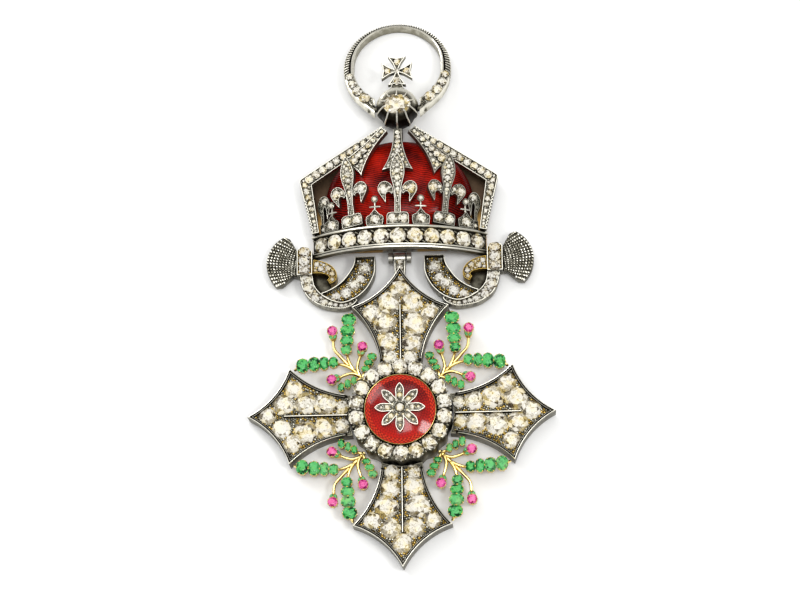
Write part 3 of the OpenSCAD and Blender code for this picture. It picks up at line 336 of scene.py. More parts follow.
def scatter(form, places, sizes, finish="silver", worn=1.0, u=xAxis, w=zAxis, spread=0.0, hue=None, turn=None,
            cushion=None):
    # copies of a small form: each at its place, scaled by its size, along its own axes u and w, turned, and
    # squared off by its share of cushion; each facet of a stone draws its painted light, and each stone a hue
    # and a lean, which paints one side of it lighter
    places = np.asarray(places, float).reshape(-1, 3)
    n = len(places)
    if not n:
        return None
    shape, faces, tone = form
    sizes = np.asarray(sizes, float)
    sizes = np.broadcast_to(sizes[:, None] if sizes.ndim == 1 else sizes, (n, 3))
    u, w = np.broadcast_to(u, (n, 3)), np.broadcast_to(w, (n, 3))
    v = np.cross(w, u)
    local = np.broadcast_to(shape[None], (n,) + shape.shape)
    if cushion is not None:
        a = np.arctan2(shape[:, 1], shape[:, 0])
        lop = cushion[:, None]
        wave = 1 - lop * np.cos(4 * a) + 0.5 * lop * np.cos(3 * a + 40 * lop)
        local = local * np.stack([wave, wave, np.ones_like(wave)], -1)
    if turn is not None:
        c, s = np.cos(turn)[:, None], np.sin(turn)[:, None]
        x, y, z = np.moveaxis(local, -1, 0)
        local = np.stack([x * c - y * s, x * s + y * c, z], -1)
    local = local * sizes[:, None]
    points = (places[:, None] + local[..., :1] * u[:, None] + local[..., 1:2] * v[:, None]
              + local[..., 2:] * w[:, None]).reshape(-1, 3)
    offset = (np.arange(n) * len(shape))[:, None, None]
    copies = [(f[None] + offset).reshape(-1, f.shape[1]) for f in faces]
    if tone is None:
        return part(points, copies, worn, finish)
    middle = np.vstack([shape[f].mean(1) for f in faces])
    # painted light: each stone is lighter on one side, towards a turn drawn by chance
    lean = rng.random((n, 1)) * tau
    facetLights = tone[:, 0] + rng.normal(0, spread * 1.5, (n, len(tone))) * tone[:, 1]
    facetLights += rng.normal(0, spread * 0.3, (n, 1))
    facetLights += spread * 1.3 * (middle[:, 0] * np.cos(lean) + middle[:, 1] * np.sin(lean))
    hues = np.broadcast_to((rng.random(n) if hue is None else hue)[:, None], facetLights.shape)
    cut = np.cumsum([len(f) for f in faces])[:-1]
    facetLights, hues = (np.concatenate([g.ravel() for g in np.split(each, cut, 1)]) for each in (facetLights, hues))
    return part(points, copies, worn, finish, np.clip(facetLights, 0, 1), hues)


def readStone(q, corners):
    # one packed stone: its middle, u along its length, w square to its broadest flat, its length and breadth;
    # the girdle gives them, since the points of a round girdle of width d have a variance of d * d / 8
    n = np.cross(corners[:, 1] - corners[:, 0], corners[:, 2] - corners[:, 0])
    area = np.linalg.norm(n, axis=1)
    n, area = n[area > 1e-6] / area[area > 1e-6][:, None], area[area > 1e-6]
    w = n[((n @ n.T > 0.9995) @ area).argmax()]
    h = (q - q.mean(0)) @ w
    belt = q[(h < h.max() - 0.3 * np.ptp(h)) & (h > h.min() + 0.3 * np.ptp(h))]
    middle = belt.mean(0)
    u = np.cross([0, 1, 0], w)
    u /= np.linalg.norm(u)
    v = np.cross(w, u)
    flat = np.column_stack([(belt - middle) @ u, (belt - middle) @ v])
    values, vectors = np.linalg.eigh(flat.T @ flat / len(flat))
    if values[1] > values[0] * 1.03:
        u = u * vectors[0, 1] + v * vectors[1, 1]
    return middle, u, w, math.sqrt(8 * values[1]), math.sqrt(8 * values[0])


def readStones(name):
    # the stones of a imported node, which are its loose parts: each corner takes the least label of its triangles
    weld, passes = 0.004, 14
    mesh = frame["nodes"][name].data
    co = np.empty(len(mesh.vertices) * 3, np.float32)
    mesh.vertices.foreach_get("co", co)
    mesh.calc_loop_triangles()
    tri = np.empty(len(mesh.loop_triangles) * 3, np.int32)
    mesh.loop_triangles.foreach_get("vertices", tri)
    co = co.reshape(-1, 3).astype(float) * 1000
    cell = np.round(co / weld).astype(int)
    _, first, index = np.unique(cell, axis=0, return_index=True, return_inverse=True)
    p, tri = co[first], index.reshape(-1)[tri].reshape(-1, 3)
    label = np.arange(len(p))
    for _ in range(passes):
        low = label[tri].min(1)
        for corner in tri.T:
            np.minimum.at(label, corner, low)
    stones = [readStone(p[label == l], p[tri[label[tri[:, 0]] == l]]) for l in np.unique(label)]
    return dict(zip(("at", "u", "w", "l", "b"), map(np.array, zip(*stones))))


def seenFrom(place, points):
    # points as they lie in a placed plane
    back = np.linalg.inv(place)
    return points @ back[:3, :3].T + back[:3, 3]


def circlesOf(stones, grow=1.0, at=None):
    # the circles (x, y, radius) that stones take up
    at = stones["at"] if at is None else at
    return np.column_stack([at[:, :2], stones["l"] / 2 * grow])


def sunk(stones, share):
    # stones let down into their seats by a share of their height, which is 0.3 of their length
    return {**stones, "at": stones["at"] - stones["w"] * (stones["l"] * 0.3 * share)[:, None]}


def cutStones(s, finish="diamond", high=1.0, spread=0.2, hue=None, grow=1.0, square=0.05):
    # an old cut in the place of each packed stone; round ones are turned by chance
    n = len(s["l"])
    turn = np.where(s["l"] < s["b"] * 1.03, rng.random(n) * tau, 0)
    size = np.column_stack([s["l"] * grow, s["b"] * grow, np.minimum(s["l"], s["b"]) * high])
    hues = None if hue is None else rng.uniform(*hue, n)
    return scatter(oldCutForm, s["at"], size, finish, u=s["u"], w=s["w"], spread=spread * 1.2, hue=hues,
                   turn=turn, cushion=square * rng.uniform(0.3, 1.2, n))


def beadsOn(found, z, finish="silver", high=0.8, worn=(0.1, 0.95)):
    # a bead for each circle (x, y, radius) at a height, some rubbed bright and some left dark
    return scatter(beadForm, raised(found[:, :2], z), found[:, [2, 2, 2]] * [1, 1, high], finish,
                   np.repeat(rng.uniform(*worn, len(found)), len(beadForm[0])))


def stonesOn(found, z, finish="diamond", spread=0.22, form=oldCutForm, hue=None, grow=1.0):
    # a small cut stone for each circle
    found = np.asarray(found, float)
    n = len(found)
    if not n:
        return None
    hues = None if hue is None else rng.uniform(*hue, n)
    return scatter(form, raised(found[:, :2], z), found[:, 2] * 2 * grow, finish, spread=spread, hue=hues,
                   turn=rng.random(n) * tau, cushion=0.06 * rng.uniform(0.3, 1.2, n))


def grainsOn(outline, taken, z, big, small, margin, gap=-0.03, step=0.07, finish="silver", worn=(0.1, 0.95)):
    # beads in what the taken circles leave free
    return beadsOn(fillRound(outline, taken, big, small, gap, margin, step), z, finish, worn=worn)


def mixedGrains(found, z, goldShare, silverWorn, goldWorn):
    # silver beads with some gilt ones among them
    gilt = rng.random(len(found)) < goldShare
    return [beadsOn(found[~gilt], z, worn=silverWorn), beadsOn(found[gilt], z, "gold", worn=goldWorn)]


def paved(outline, z, taken, rMax, rMin, margin, finish="diamond", hue=(0.0, 0.7), form=smallCutForm,
          metal="silver"):
    # small stones, then bright and dark grains in what is left between them
    taken = np.array(taken, float).reshape(-1, 3)
    stones = fillRound(outline, taken, rMax, rMin, 0, margin)
    return [stonesOn(stones, z, finish, 0.22, form, hue, 1.04),
            grainsOn(outline, np.vstack([taken, stones]), z + 0.05, 0.12, 0.06, margin * 0.85, step=0.06,
                     finish=metal)]


materials = {}
bodyOf = {n: b for b, names in frame["record"]["behaviour"]["bodies"].items() for n in names}
made = []
stoneFinishes = ("diamond", "warmDiamond", "emerald", "ruby")


def addObject(name, data):
    thing = bpy.data.objects.new(name, data)
    bpy.context.scene.collection.objects.link(thing)
    return thing


def makePiece(name, parts, node):
    # one mesh of all the parts, in metres, with its wear and painted light, the painted light of its facets, its
    # hues and finishes, in the place of a node
    parts = [p for p in parts if p]
    finishes = list(dict.fromkeys(p["finish"] for p in parts))
    points = np.vstack([p["points"] for p in parts]) * 0.001
    start = np.cumsum([0] + [len(p["points"]) for p in parts])
    faces = [(f + s, finishes.index(p["finish"])) for p, s in zip(parts, start) for f in p["faces"]]
    corners = np.concatenate([f.ravel() for f, _ in faces])
    totals = np.concatenate([np.full(len(f), f.shape[1]) for f, _ in faces])
    kinds = np.concatenate([np.full(len(f), kind, np.int32) for f, kind in faces])
    mesh = bpy.data.meshes.new(name)
    mesh.vertices.add(len(points))
    mesh.vertices.foreach_set("co", points.astype(np.float32).ravel())
    mesh.loops.add(len(corners))
    mesh.loops.foreach_set("vertex_index", corners.astype(np.int32))
    mesh.polygons.add(len(totals))
    mesh.polygons.foreach_set("loop_start", np.concatenate([[0], np.cumsum(totals)[:-1]]).astype(np.int32))
    for finish in finishes:
        mesh.materials.append(materials[finish])
    mesh.polygons.foreach_set("material_index", kinds)
    mesh.update(calc_edges=True)
    for label, domain in (("worn", "POINT"), ("tone", "FACE"), ("hue", "FACE")):
        values = np.concatenate([p[label] for p in parts]).astype(np.float32)
        mesh.attributes.new(label, "FLOAT", domain).data.foreach_set("value", values)
    welded = bmesh.new()
    welded.from_mesh(mesh)
    bmesh.ops.remove_doubles(welded, verts=welded.verts, dist=1e-6)
    welded.to_mesh(mesh)
    welded.free()
    mesh.validate()
    kinds = np.empty(len(mesh.polygons), np.int32)
    mesh.polygons.foreach_get("material_index", kinds)
    stoneKinds = [i for i, f in enumerate(finishes) if f in stoneFinishes]
    mesh.polygons.foreach_set("use_smooth", ~np.isin(kinds, stoneKinds))
    mesh.set_sharp_from_angle(angle=math.radians(38))
    piece = addObject(name, mesh)
    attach(piece, bodyOf[node])
    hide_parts(node)
    made.append(piece)


def makePair(name, parts, node, nameEnd="", nodeEnd=""):
    # a piece on the right and its mirror image on the left
    makePiece(name + "Right" + nameEnd, parts, node + "_right" + nodeEnd)
    makePiece(name + "Left" + nameEnd, mirrored(parts), node + "_left" + nodeEnd)


def operator(operation, swapped=False):
    # an operator of Wire, which adds a Math node
    return lambda a, b: a.maths(operation, b, a) if swapped else a.maths(operation, a, b)


class Wire:
    # a socket; arithmetic on it adds nodes
    def __init__(self, paint, socket):
        self.paint, self.socket = paint, socket

    def maths(self, operation, *values):
        return self.paint.node("ShaderNodeMath", {"operation": operation}, dict(enumerate(values)))

    __add__ = __radd__ = operator("ADD")
    __mul__ = __rmul__ = operator("MULTIPLY")
    __sub__, __rsub__ = operator("SUBTRACT"), operator("SUBTRACT", True)
    __truediv__, __pow__, __gt__ = operator("DIVIDE"), operator("POWER"), operator("GREATER_THAN")

    def sine(self):
        return self.maths("SINE", self)

    def wave(self):
        # a sine from 0 to 1
        return self.sine() * 0.5 + 0.5

    def clamp(self):
        return self.paint.node("ShaderNodeClamp", {}, {0: self})

    def between(self, low, high):
        # rises smoothly from 0 at low to 1 at high
        return self.paint.node("ShaderNodeMapRange", {"interpolation_type": "SMOOTHSTEP"},
                               {0: self, 1: low, 2: high})


class Paint:
    # a material's node tree
    def __init__(self, name):
        self.material = bpy.data.materials.new(name)
        self.material.use_nodes = True
        self.tree = self.material.node_tree
        self.tree.nodes.clear()
        materials[name] = self.material

    def node(self, kind, settings, inputs, output=0):
        n = self.tree.nodes.new(kind)
        for key, value in settings.items():
            setattr(n, key, value)
        for key, value in inputs.items():
            if isinstance(value, Wire):
                self.tree.links.new(value.socket, n.inputs[key])
            elif isinstance(value, tuple) and len(n.inputs[key].default_value) == 4:
                n.inputs[key].default_value = (*value, 1)
            else:
                n.inputs[key].default_value = value
        return Wire(self, n.outputs[output]) if n.outputs else None

    def attribute(self, name):
        return self.node("ShaderNodeAttribute", {"attribute_name": name}, {}, "Fac")

    def place(self, centre=(0, 0, 0)):
        # Object coordinates in mm, measured from a centre
        at = self.node("ShaderNodeTexCoord", {}, {}, "Object")
        return self.node("ShaderNodeMapping", {}, {"Vector": at, "Location": tuple(-c for c in centre),
                                                   "Scale": (1000, 1000, 1000)})

    def plan(self, centre=(0, 0, 0)):
        # x and y in mm, measured from a centre
        at = self.place(centre)
        return [self.node("ShaderNodeSeparateXYZ", {}, {0: at}, k) for k in (0, 1)]

    def noise(self, scale, detail=2.0):
        return self.node("ShaderNodeTexNoise", {}, {"Vector": self.place(), "Scale": scale, "Detail": detail})

    def blend(self, share, a, b):
        # colours a and b, mixed by a share
        return self.node("ShaderNodeMix", {"data_type": "RGBA"}, {0: share, 6: a, 7: b}, 2)

    def bump(self, height, strength, distance):
        return self.node("ShaderNodeBump", {}, {"Height": height, "Strength": strength, "Distance": distance})

    def hollow(self, distance=0.0008):
        # 1 in the open, towards 0 in a corner
        return self.node("ShaderNodeAmbientOcclusion", {"samples": 6}, {"Distance": distance}, "AO")

    def finish(self, **inputs):
        shader = self.node("ShaderNodeBsdfPrincipled", {}, {k.replace("_", " "): v for k, v in inputs.items()})
        self.node("ShaderNodeOutputMaterial", {}, {"Surface": shader})


def metalPaint(name, dark, light, bright, rough=0.3):
    # tarnish fills what is sunk and clouds the flats; edges and grains are rubbed bright. On some pieces the wear
    # also carries painted highlights and painted shade.
    p = Paint(name)
    cloud, fine = p.noise(0.9, 4.0), p.noise(14.0, 3.0)
    shown = (p.attribute("worn") * 0.8 + p.hollow() ** 1.5 * 0.45 - 0.22 + (cloud - 0.5) * 0.45).clamp()
    colour = p.blend(shown.between(0.05, 0.62), dark, light)
    colour = p.blend(shown.between(0.62, 1.0), colour, bright)
    roughness = (rough + (1 - shown) * 0.25 + (fine - 0.5) * 0.3).clamp()
    p.finish(Base_Color=colour, Metallic=1.0, Roughness=roughness, Normal=p.bump(fine, 0.3, 0.00003))


def backPaint(name):
    # the frame behind the crown: silver at the hinge, gilt above it, and beside the cap a dark brown painted as the
    # shade under the back arches
    p = Paint(name)
    x, y = p.plan()
    cloud = p.noise(0.8, 4.0)
    hinge = ((1 - (x * x).between(8.0, 12.0)) * (1 - y.between(7.0, 8.0))).clamp()
    shown = (p.hollow() * 0.8 + (cloud - 0.5) * 0.8).clamp()
    gilt = p.blend(shown, (0.08, 0.035, 0.010), (0.62, 0.38, 0.12))
    # painted shade: the gilt beside the cap, darkened to brown as if it lies in shadow
    shadedBrown = p.blend(shown, (0.010, 0.006, 0.004), (0.07, 0.045, 0.028))
    grey = p.blend(shown, (0.05, 0.045, 0.035), (0.52, 0.50, 0.44))
    colour = p.blend(hinge, p.blend(y.between(12.0, 16.0), gilt, shadedBrown), grey)
    p.finish(Base_Color=colour, Metallic=1.0, Roughness=0.42, Normal=p.bump(cloud, 0.2, 0.00008))


def stonePaint(name, deep, body, light, other, cool, glint=0.35):
    # each facet is painted with a light or shade of its own, as a cut stone throws back light or shadow, with
    # painted sparkle and painted shade where stones crowd each other
    p = Paint(name)
    cloud, sparkle = p.noise(1.5), p.noise(4.5)
    shade = (1 - p.hollow(0.0004)) * 0.6
    tone = (p.attribute("tone") + (cloud - 0.5) * 0.35 + (sparkle - 0.5) * 1.1 - shade).clamp()
    colour = p.blend(tone.between(0.05, 0.55), deep, body)
    colour = p.blend(tone.between(0.5, 0.9), colour, light)
    patch = p.noise(0.75, 1.0).between(0.45, 0.62)
    warm = (p.attribute("hue").between(0.0, 0.9) * (1.15 - tone * 0.9) * (0.45 + patch * 0.9)).clamp()
    colour = p.blend(warm, colour, p.blend(tone, deep, other))
    colour = p.blend((1 - patch) * glint, colour, p.blend(tone, deep, cool))
    p.finish(Base_Color=colour, Roughness=0.12, IOR=1.3)


def enamelPaint(p, colour, height, strength, coat, coatRough):
    # coloured glass whose engraved ground shows through; a high IOR would lay a haze over it
    p.finish(Base_Color=colour, Roughness=0.5, IOR=1.05, Coat_Weight=coat, Coat_Roughness=coatRough,
             Normal=p.bump(height, strength, 0.00006))


def medallionPaint(name, centreY):
    # guilloche: rays crossed by rings of waves under red glass, with a border of engraved bricks
    p = Paint(name)
    x, y = p.plan((0, centreY, 0))
    r = (x * x + y * y) ** 0.5
    a = y.maths("ARCTAN2", y, x)
    cut = (a * 60 + (r * 8.0).sine() * 1.2).wave() * 0.6 + (r * 14.0).wave() * 0.4
    edge = r.between(5.3, 5.38)
    brick = ((a * 48 + (r * 9.5).sine() * 0.6).sine() > 0) * 1.0
    row = ((r * 12.6 - 1.2).sine() > 0) * 1.0
    bricks = brick + row - 2 * brick * row
    cloud = p.noise(0.4, 3.0)
    shade = (0.52 - y * 0.07 + (cloud - 0.5) * 0.9).clamp()
    field = p.blend((cut * 0.5 + shade * 0.8 - 0.22).clamp(), (0.06, 0.001, 0.001), (0.54, 0.009, 0.003))
    border = p.blend(bricks * 0.7 + cloud * 0.3, (0.14, 0.003, 0.002), (0.68, 0.034, 0.008))
    enamelPaint(p, p.blend(edge, field, border), cut * (1 - edge) + bricks * edge, 0.25, 0.6, 0.1)


def capPaint(name):
    # fine wavy lines across the bonnet under the same red glass, darker towards its sides
    p = Paint(name)
    x, y = p.plan()
    line = (y * 14.5 + x * 3.2 + (x * 2.4 + y * 0.5).sine() * 1.1 + p.noise(0.35) * 7.0).wave()
    cloud, fleck = p.noise(0.16, 3.0), p.noise(2.4)
    edge = 1 - (x * x / 160.0).between(0.3, 1.0)
    share = ((cloud - 0.36) * 2.6 * edge + (line - 0.5) * 0.5 + (fleck - 0.5) * 0.5).clamp()
    enamelPaint(p, p.blend(share, (0.035, 0.001, 0.001), (0.60, 0.016, 0.006)), line, 0.3, 0.12, 0.15)


cross = {"y": -24.2159, "reach": 27.5, "tipOut": 20.0, "tipW": 17.6, "rootW": 7.2, "sideDip": 1.25, "endDip": 1.15,
         "top": 4.1, "floor": 3.35, "hubR": 9.295}
metalPaint("silver", (0.010, 0.008, 0.005), (0.25, 0.235, 0.18), (0.84, 0.81, 0.70))
metalPaint("gold", (0.05, 0.024, 0.004), (0.66, 0.45, 0.11), (1.0, 0.84, 0.36), 0.25)
backPaint("backGold")
stonePaint("diamond", (0.04, 0.028, 0.015), (0.38, 0.325, 0.19), (0.85, 0.82, 0.69), (0.78, 0.58, 0.18),
           (0.64, 0.63, 0.66))
stonePaint("warmDiamond", (0.03, 0.018, 0.009), (0.29, 0.25, 0.155), (0.74, 0.72, 0.62), (0.50, 0.35, 0.11),
           (0.58, 0.57, 0.60))
stonePaint("emerald", (0.0005, 0.02, 0.005), (0.008, 0.17, 0.025), (0.09, 0.46, 0.10), (0.42, 0.74, 0.30),
           (0.10, 0.50, 0.20), 0.4)
stonePaint("ruby", (0.06, 0.001, 0.015), (0.50, 0.012, 0.13), (0.90, 0.20, 0.42), (0.45, 0.03, 0.30),
           (0.60, 0.04, 0.30))
medallionPaint("medallionRed", cross["y"])
capPaint("capRed")


def dipped(p, q, dip, n):
    # an arc from p to q that bends to the left of its chord by dip
    p, q = np.array(p, float), np.array(q, float)
    half = np.linalg.norm(q - p) / 2
    r = (half * half + dip * dip) / (2 * dip)
    d = (q - p) / (2 * half)
    left = np.array([-d[1], d[0]])
    s = np.linspace(-half, half, n + 1)[:, None]
    return (p + q) / 2 + d * s + left * (np.sqrt(r * r - s * s) - (r - dip))


def armOutline():
    # an arm that points along X: hollow sides, two hollow edges to its tip, and a round bite for the hub
    half, tip = cross["rootW"] / 2, cross["tipW"] / 2
    rootX = math.sqrt(cross["hubR"] ** 2 - half * half) - 0.3
    low = dipped((rootX, -half), (cross["tipOut"], -tip), cross["sideDip"], 30)
    end = dipped((cross["tipOut"], -tip), (cross["reach"], 0), cross["endDip"], 24)
    near = cross["hubR"] + 0.06
    low = low[np.hypot(*low.T) > near + 0.02]
    right = np.vstack([low[:-1], end])
    a = math.atan2(low[0, 1], low[0, 0])
    bite = polar(near, np.linspace(-a, a, 14)[1:-1], 0)[:, :2]
    return np.vstack([right, (right * [1, -1])[::-1][1:], bite])


def armBody(outline):
    # a box with a beaded double rim; the rim sinks to the floor at the hub
    top, floor = cross["top"], cross["floor"]
    body = sweep(outline, [(0.2, 0, 0.3), (0, 0.22, 0.3), (0, 1.6, 0.15), (0, top - 0.25, 0.2),
                           (0.02, top - 0.05, 1), (0.06, top, 1), (0.13, top - 0.02, 0.9), (0.18, top - 0.35, 0),
                           (0.33, top - 0.35, 0), (0.37, top - 0.06, 0.8), (0.40, top - 0.03, 1),
                           (0.45, top - 0.06, 0.8), (0.49, top - 0.4, 0.0), (0.56, floor - 0.12, 0.5)])
    atHub = body["points"][:, 0] < cross["hubR"] + 0.6
    body["points"][atHub, 2] = np.minimum(body["points"][atHub, 2], floor - 0.05)
    body["worn"] = np.where(atHub, 0.3, 1) * body["worn"]
    return body


hinge = {"pinY": 5.284, "pinZ": 2.2, "stem": 25.4, "stemHalf": 0.9, "eyeHalf": 1.12, "eye": 1.0, "bore": 0.45,
         "stones": [[0, 26.25, 0.5], [0, 27.4, 0.62], [0, 28.6, 0.6]]}


def hingeTongue():
    # the tongue above the top arm with its three stones, and the eye round the pin
    stem = cross["y"] + hinge["stem"]
    tongue = dense([[-hinge["stemHalf"], stem], [hinge["stemHalf"], stem], [hinge["eyeHalf"], hinge["pinY"]],
                    [-hinge["eyeHalf"], hinge["pinY"]]], 0.5)
    r, x, chamfer = hinge["eye"], hinge["eyeHalf"] - 0.02, 0.1
    eye = np.array([(hinge["bore"], -x), (r - chamfer, -x), (r, chamfer - x), (r, x - chamfer), (r - chamfer, x),
                    (hinge["bore"], x)])
    ring = polar(eye[None, :, 0], around(32)[:, None], eye[None, :, 1])[..., [2, 0, 1]]
    return [sweep(tongue, [(0.1, 1.4, 0.4), (0, 1.5, 0.4), (0, 2.95, 0.7), (0.08, 3.08, 1), (0.22, 3.08, 0.9),
                           (0.26, 2.98, 0.2)]),
            stonesOn(np.array(hinge["stones"]) + [0, cross["y"], 0], 3.02),
            capped(ring + [0, hinge["pinY"], hinge["pinZ"]], 0.8, loop=True)]


arms = {"arm_top": ("topArm", 90, 0.6), "arm_left": ("leftArm", 180, 0.64), "arm_right": ("rightArm", 0, 0.66),
        "arm_bottom": ("bottomArm", 270, 0.66)}
outline = armOutline()
body = armBody(outline)
length = cross["reach"] - cross["hubR"]
for node, (name, angle, ribTo) in arms.items():
    place = placed(0, cross["y"], 0, angle)
    stones = readStones(node + "_diamonds")
    taken = circlesOf(stones, 1.13, seenFrom(place, stones["at"]))
    along = cross["hubR"] + np.array([0.02, ribTo]) * length
    low, high = cross["floor"] - 0.1, cross["top"] - 0.02
    rib = np.array([[[x, y, z] for y, z in ((-0.17, low), (0.17, low), (0.05, high), (-0.05, high))]
                    for x in np.linspace(*along, 12)])
    ribTaken = np.column_stack([np.linspace(*along, 60), np.zeros(60), np.full(60, 0.2)])
    grains = fillRound(outline, np.vstack([taken, ribTaken]), 0.24, 0.08, -0.04, 0.5, 0.06)
    parts = [body, capped(rib, np.array([0.1, 0.1, 1, 1]))]
    parts += mixedGrains(grains, cross["floor"] + 0.12, 0.32, (0.3, 1.0), (0.15, 0.8))
    parts = moved(parts, place)
    if node == "arm_top":
        parts += hingeTongue()
    makePiece(name, parts, node)
    makePiece(name + "Stones", [cutStones(stones, "diamond", 1.0, 0.15, (0.3, 1.0), 1.28)],
              node + "_diamonds")
print("arms made")

hub = {"stones": 18, "r": 7.85, "top": 7.2, "lobe": 0.2}
hubPlace = placed(0, cross["y"])
angles = 90 + np.arange(hub["stones"]) * 360 / hub["stones"]


def beadRing(r, angles, z, size, worn=1.0):
    # beads on a circle, each with its first axis outwards
    a = np.radians(angles)
    return scatter(beadForm, polar(r, a, z), np.tile(size, (len(a), 1)), worn=worn, u=polar(1.0, a, 0.0))


# each collet is a fluted cup that widens to a squared rim
cup = spun([(0.95, 3.6), (1.0, 4.4), (1.12, 5.2), (1.24, 6.0), (1.32, 6.6), (1.40, 7.0), (1.40, 7.16), (1.30, 7.22),
            (1.22, 7.16), (1.16, 6.9)], 48, [0.3, 0.4, 0.6, 0.8, 0.9, 0.9, 1, 1, 0.5, 0.0], flute=0.05, flutes=12,
           square=0.025)
cupTurn = np.arctan2(cup["points"][:, 1], cup["points"][:, 0])
# painted highlights: bright lines along the flutes, over the cup's wear
cupWearAndSheen = cup["worn"] * (0.55 + 0.45 * np.cos(12 * cupTurn))
a = np.radians(angles)
parts = [scatter((cup["points"], cup["faces"], None), polar(hub["r"], a, 0.0), np.ones(hub["stones"]),
                 worn=np.tile(cupWearAndSheen, hub["stones"]), u=polar(1.0, a, 0.0))]
# below them a drum with a lobe for each, and a pocket for the medallion
a = around(216)
fromTop = a - math.radians(90)
lobes = hub["r"] + 1.14 + hub["lobe"] * np.cos(hub["stones"] * fromTop)
drum = np.array([(1.0, 0.0), (1.0, 3.2), (0.965, 3.8), (0.93, 4.4), (0.9, 4.9)])
pocket = np.array([(7.2, 5.2), (6.5, 5.4), (6.47, 4.1)])
# painted highlights: fine bright stripes round the drum over its tarnish, lifting the wall that lies in shade
lobeWearAndSheen = 0.25 + 0.35 * np.cos(5 * hub["stones"] * fromTop) ** 2
wall = np.vstack([polar(drum[:, :1] * lobes, a, drum[:, 1:]), polar(pocket[:, :1], a, pocket[:, 1:])])
parts.append(capped(wall, np.vstack([np.tile(lobeWearAndSheen, (len(drum), 1)), np.zeros((len(pocket), len(a)))])))
between = angles + 180 / hub["stones"]
for r, lift in ((0.98, 0.05), (-1.0, 0.12)):
    parts.append(beadRing(hub["r"] + r, between, hub["top"] + lift, [0.3, 0.15, 0.24], 0.5))
sides = np.concatenate([between - 4.6, between + 4.6])
parts.append(beadRing(hub["r"] + 1.1, sides, hub["top"], [0.2, 0.13, 0.22]))
makePiece("hubCollets", moved(parts, hubPlace), "hub")
makePiece("clusterStones", [cutStones(readStones("cluster_diamonds"), "diamond", 1.0, 0.18, (0, 0.6), 1.05, 0.09)],
          "cluster_diamonds")

rim = spun([(6.0, 4.16), (6.38, 4.2), (6.38, 7.3), (6.37, 7.44), (6.33, 7.5), (6.28, 7.48), (6.25, 7.4),
            (6.25, 6.9)], 144, [0.1, 0.1, 0.3, 0.7, 0.9, 0.7, 0.3, 0.1], "gold")
makePiece("medallionRim", moved([rim], hubPlace), "medallion_rim")
dome = {"edge": 6.24, "foot": 5.2, "top": 8.4, "r": 18.5}
r = dome["edge"] * np.cos(np.linspace(0, math.pi / 2, 30))[:-1]
z = dome["top"] - dome["r"] + np.sqrt(dome["r"] ** 2 - r ** 2)
glass = polar(np.append(r[0], r)[:, None], around(144), np.append(dome["foot"], z)[:, None])
makePiece("medallionEnamel", moved([capped(glass, 1.0, "medallionRed")], hubPlace), "medallion_enamel")

# the rosette: one closed line of pointed petals; its edge is in shares of the radius and of half a petal's turn
rosette = {"r": 4.5, "petals": 8, "top": 8.98,
           "edge": [[0.40, 1], [0.47, 0.9], [0.54, 0.78], [0.62, 0.73], [0.69, 0.66], [0.77, 0.56], [0.83, 0.44],
                    [0.89, 0.32], [0.93, 0.22], [0.97, 0.1], [1, 0]]}
top, petals = rosette["top"], around(rosette["petals"])
half = math.pi / rosette["petals"]
edge = np.array(rosette["edge"]) * [rosette["r"], half]
row = np.vstack([edge * [1, -1], edge[::-1][1:-1]])
star = polar(row[:, 0], row[:, 1] + petals[:, None], 0.0)[..., :2].reshape(-1, 2)
taken = np.vstack([[[0, 0, 0.95]], polar(2.2, petals, 0.55), polar(3.25, petals, 0.33),
                   polar(1.42, petals + half, 0.3)])
parts = [sweep(star, [(0, 7.7, 0.2), (0, top - 0.1, 0.8), (0.05, top, 1), (0.15, top, 1), (0.18, top - 0.18, 0.1)]),
         stonesOn(taken[1:], top - 0.18, spread=0.1), stonesOn(taken[:1], top - 0.38, spread=0.1),
         grainsOn(star, taken, top - 0.1, 0.13, 0.06, 0.16, step=0.05, worn=(0.4, 1.0))]
makePiece("rosetteStar", moved(parts, hubPlace), "rosette")
print("medallion made")

spray = {"z": 1.9, "top": 3.6, "unit": 27.5, "midZ": 2.4, "root": [[0.243, 0.243], [0.30, 0.30], [0.36, 0.36]],
         "twigs": [[[0.315, 0.315], [0.340, 0.365], [0.354, 0.42]],
                   [[0.345, 0.345], [0.395, 0.400], [0.437, 0.455], [0.443, 0.540]],
                   [[0.270, 0.270], [0.285, 0.320], [0.275, 0.375], [0.254, 0.432]],
                   [[0.270, 0.270], [0.320, 0.285], [0.375, 0.272], [0.425, 0.246]],
                   [[0.252, 0.252], [0.246, 0.275], [0.232, 0.305]], [[0.338, 0.66], [0.318, 0.695]]],
         "doubled": (0, 4, 5)}
# a doubled twig has its mirror image across the diagonal beside it
twigs = [np.array(line)[:, order] * spray["unit"] for k, line in enumerate(spray["twigs"])
         for order in (([0, 1], [1, 0]) if k in spray["doubled"] else ([0, 1],))]
quadrants = {"1": (1, 1), "2": (-1, 1), "3": (-1, -1), "4": (1, -1)}


def twigParts():
    # the branching gold wires of one spray, in the first quadrant
    parts = []
    for line in twigs:
        path = smoothLine(line, 5)
        path = raised(path, spray["midZ"] + 0.15 + 0.25 * np.sin(np.linspace(0, math.pi, len(path))))
        parts.append(tube(path, np.linspace(0.34, 0.24, len(path)), 10, 1.2, 0.9, "gold"))
    root = smoothLine(np.array(spray["root"]) * spray["unit"], 4)
    return parts + [tube(raised(root, spray["midZ"]), np.linspace(0.48, 0.32, len(root)), 10, 1.1, 0.9, "gold")]


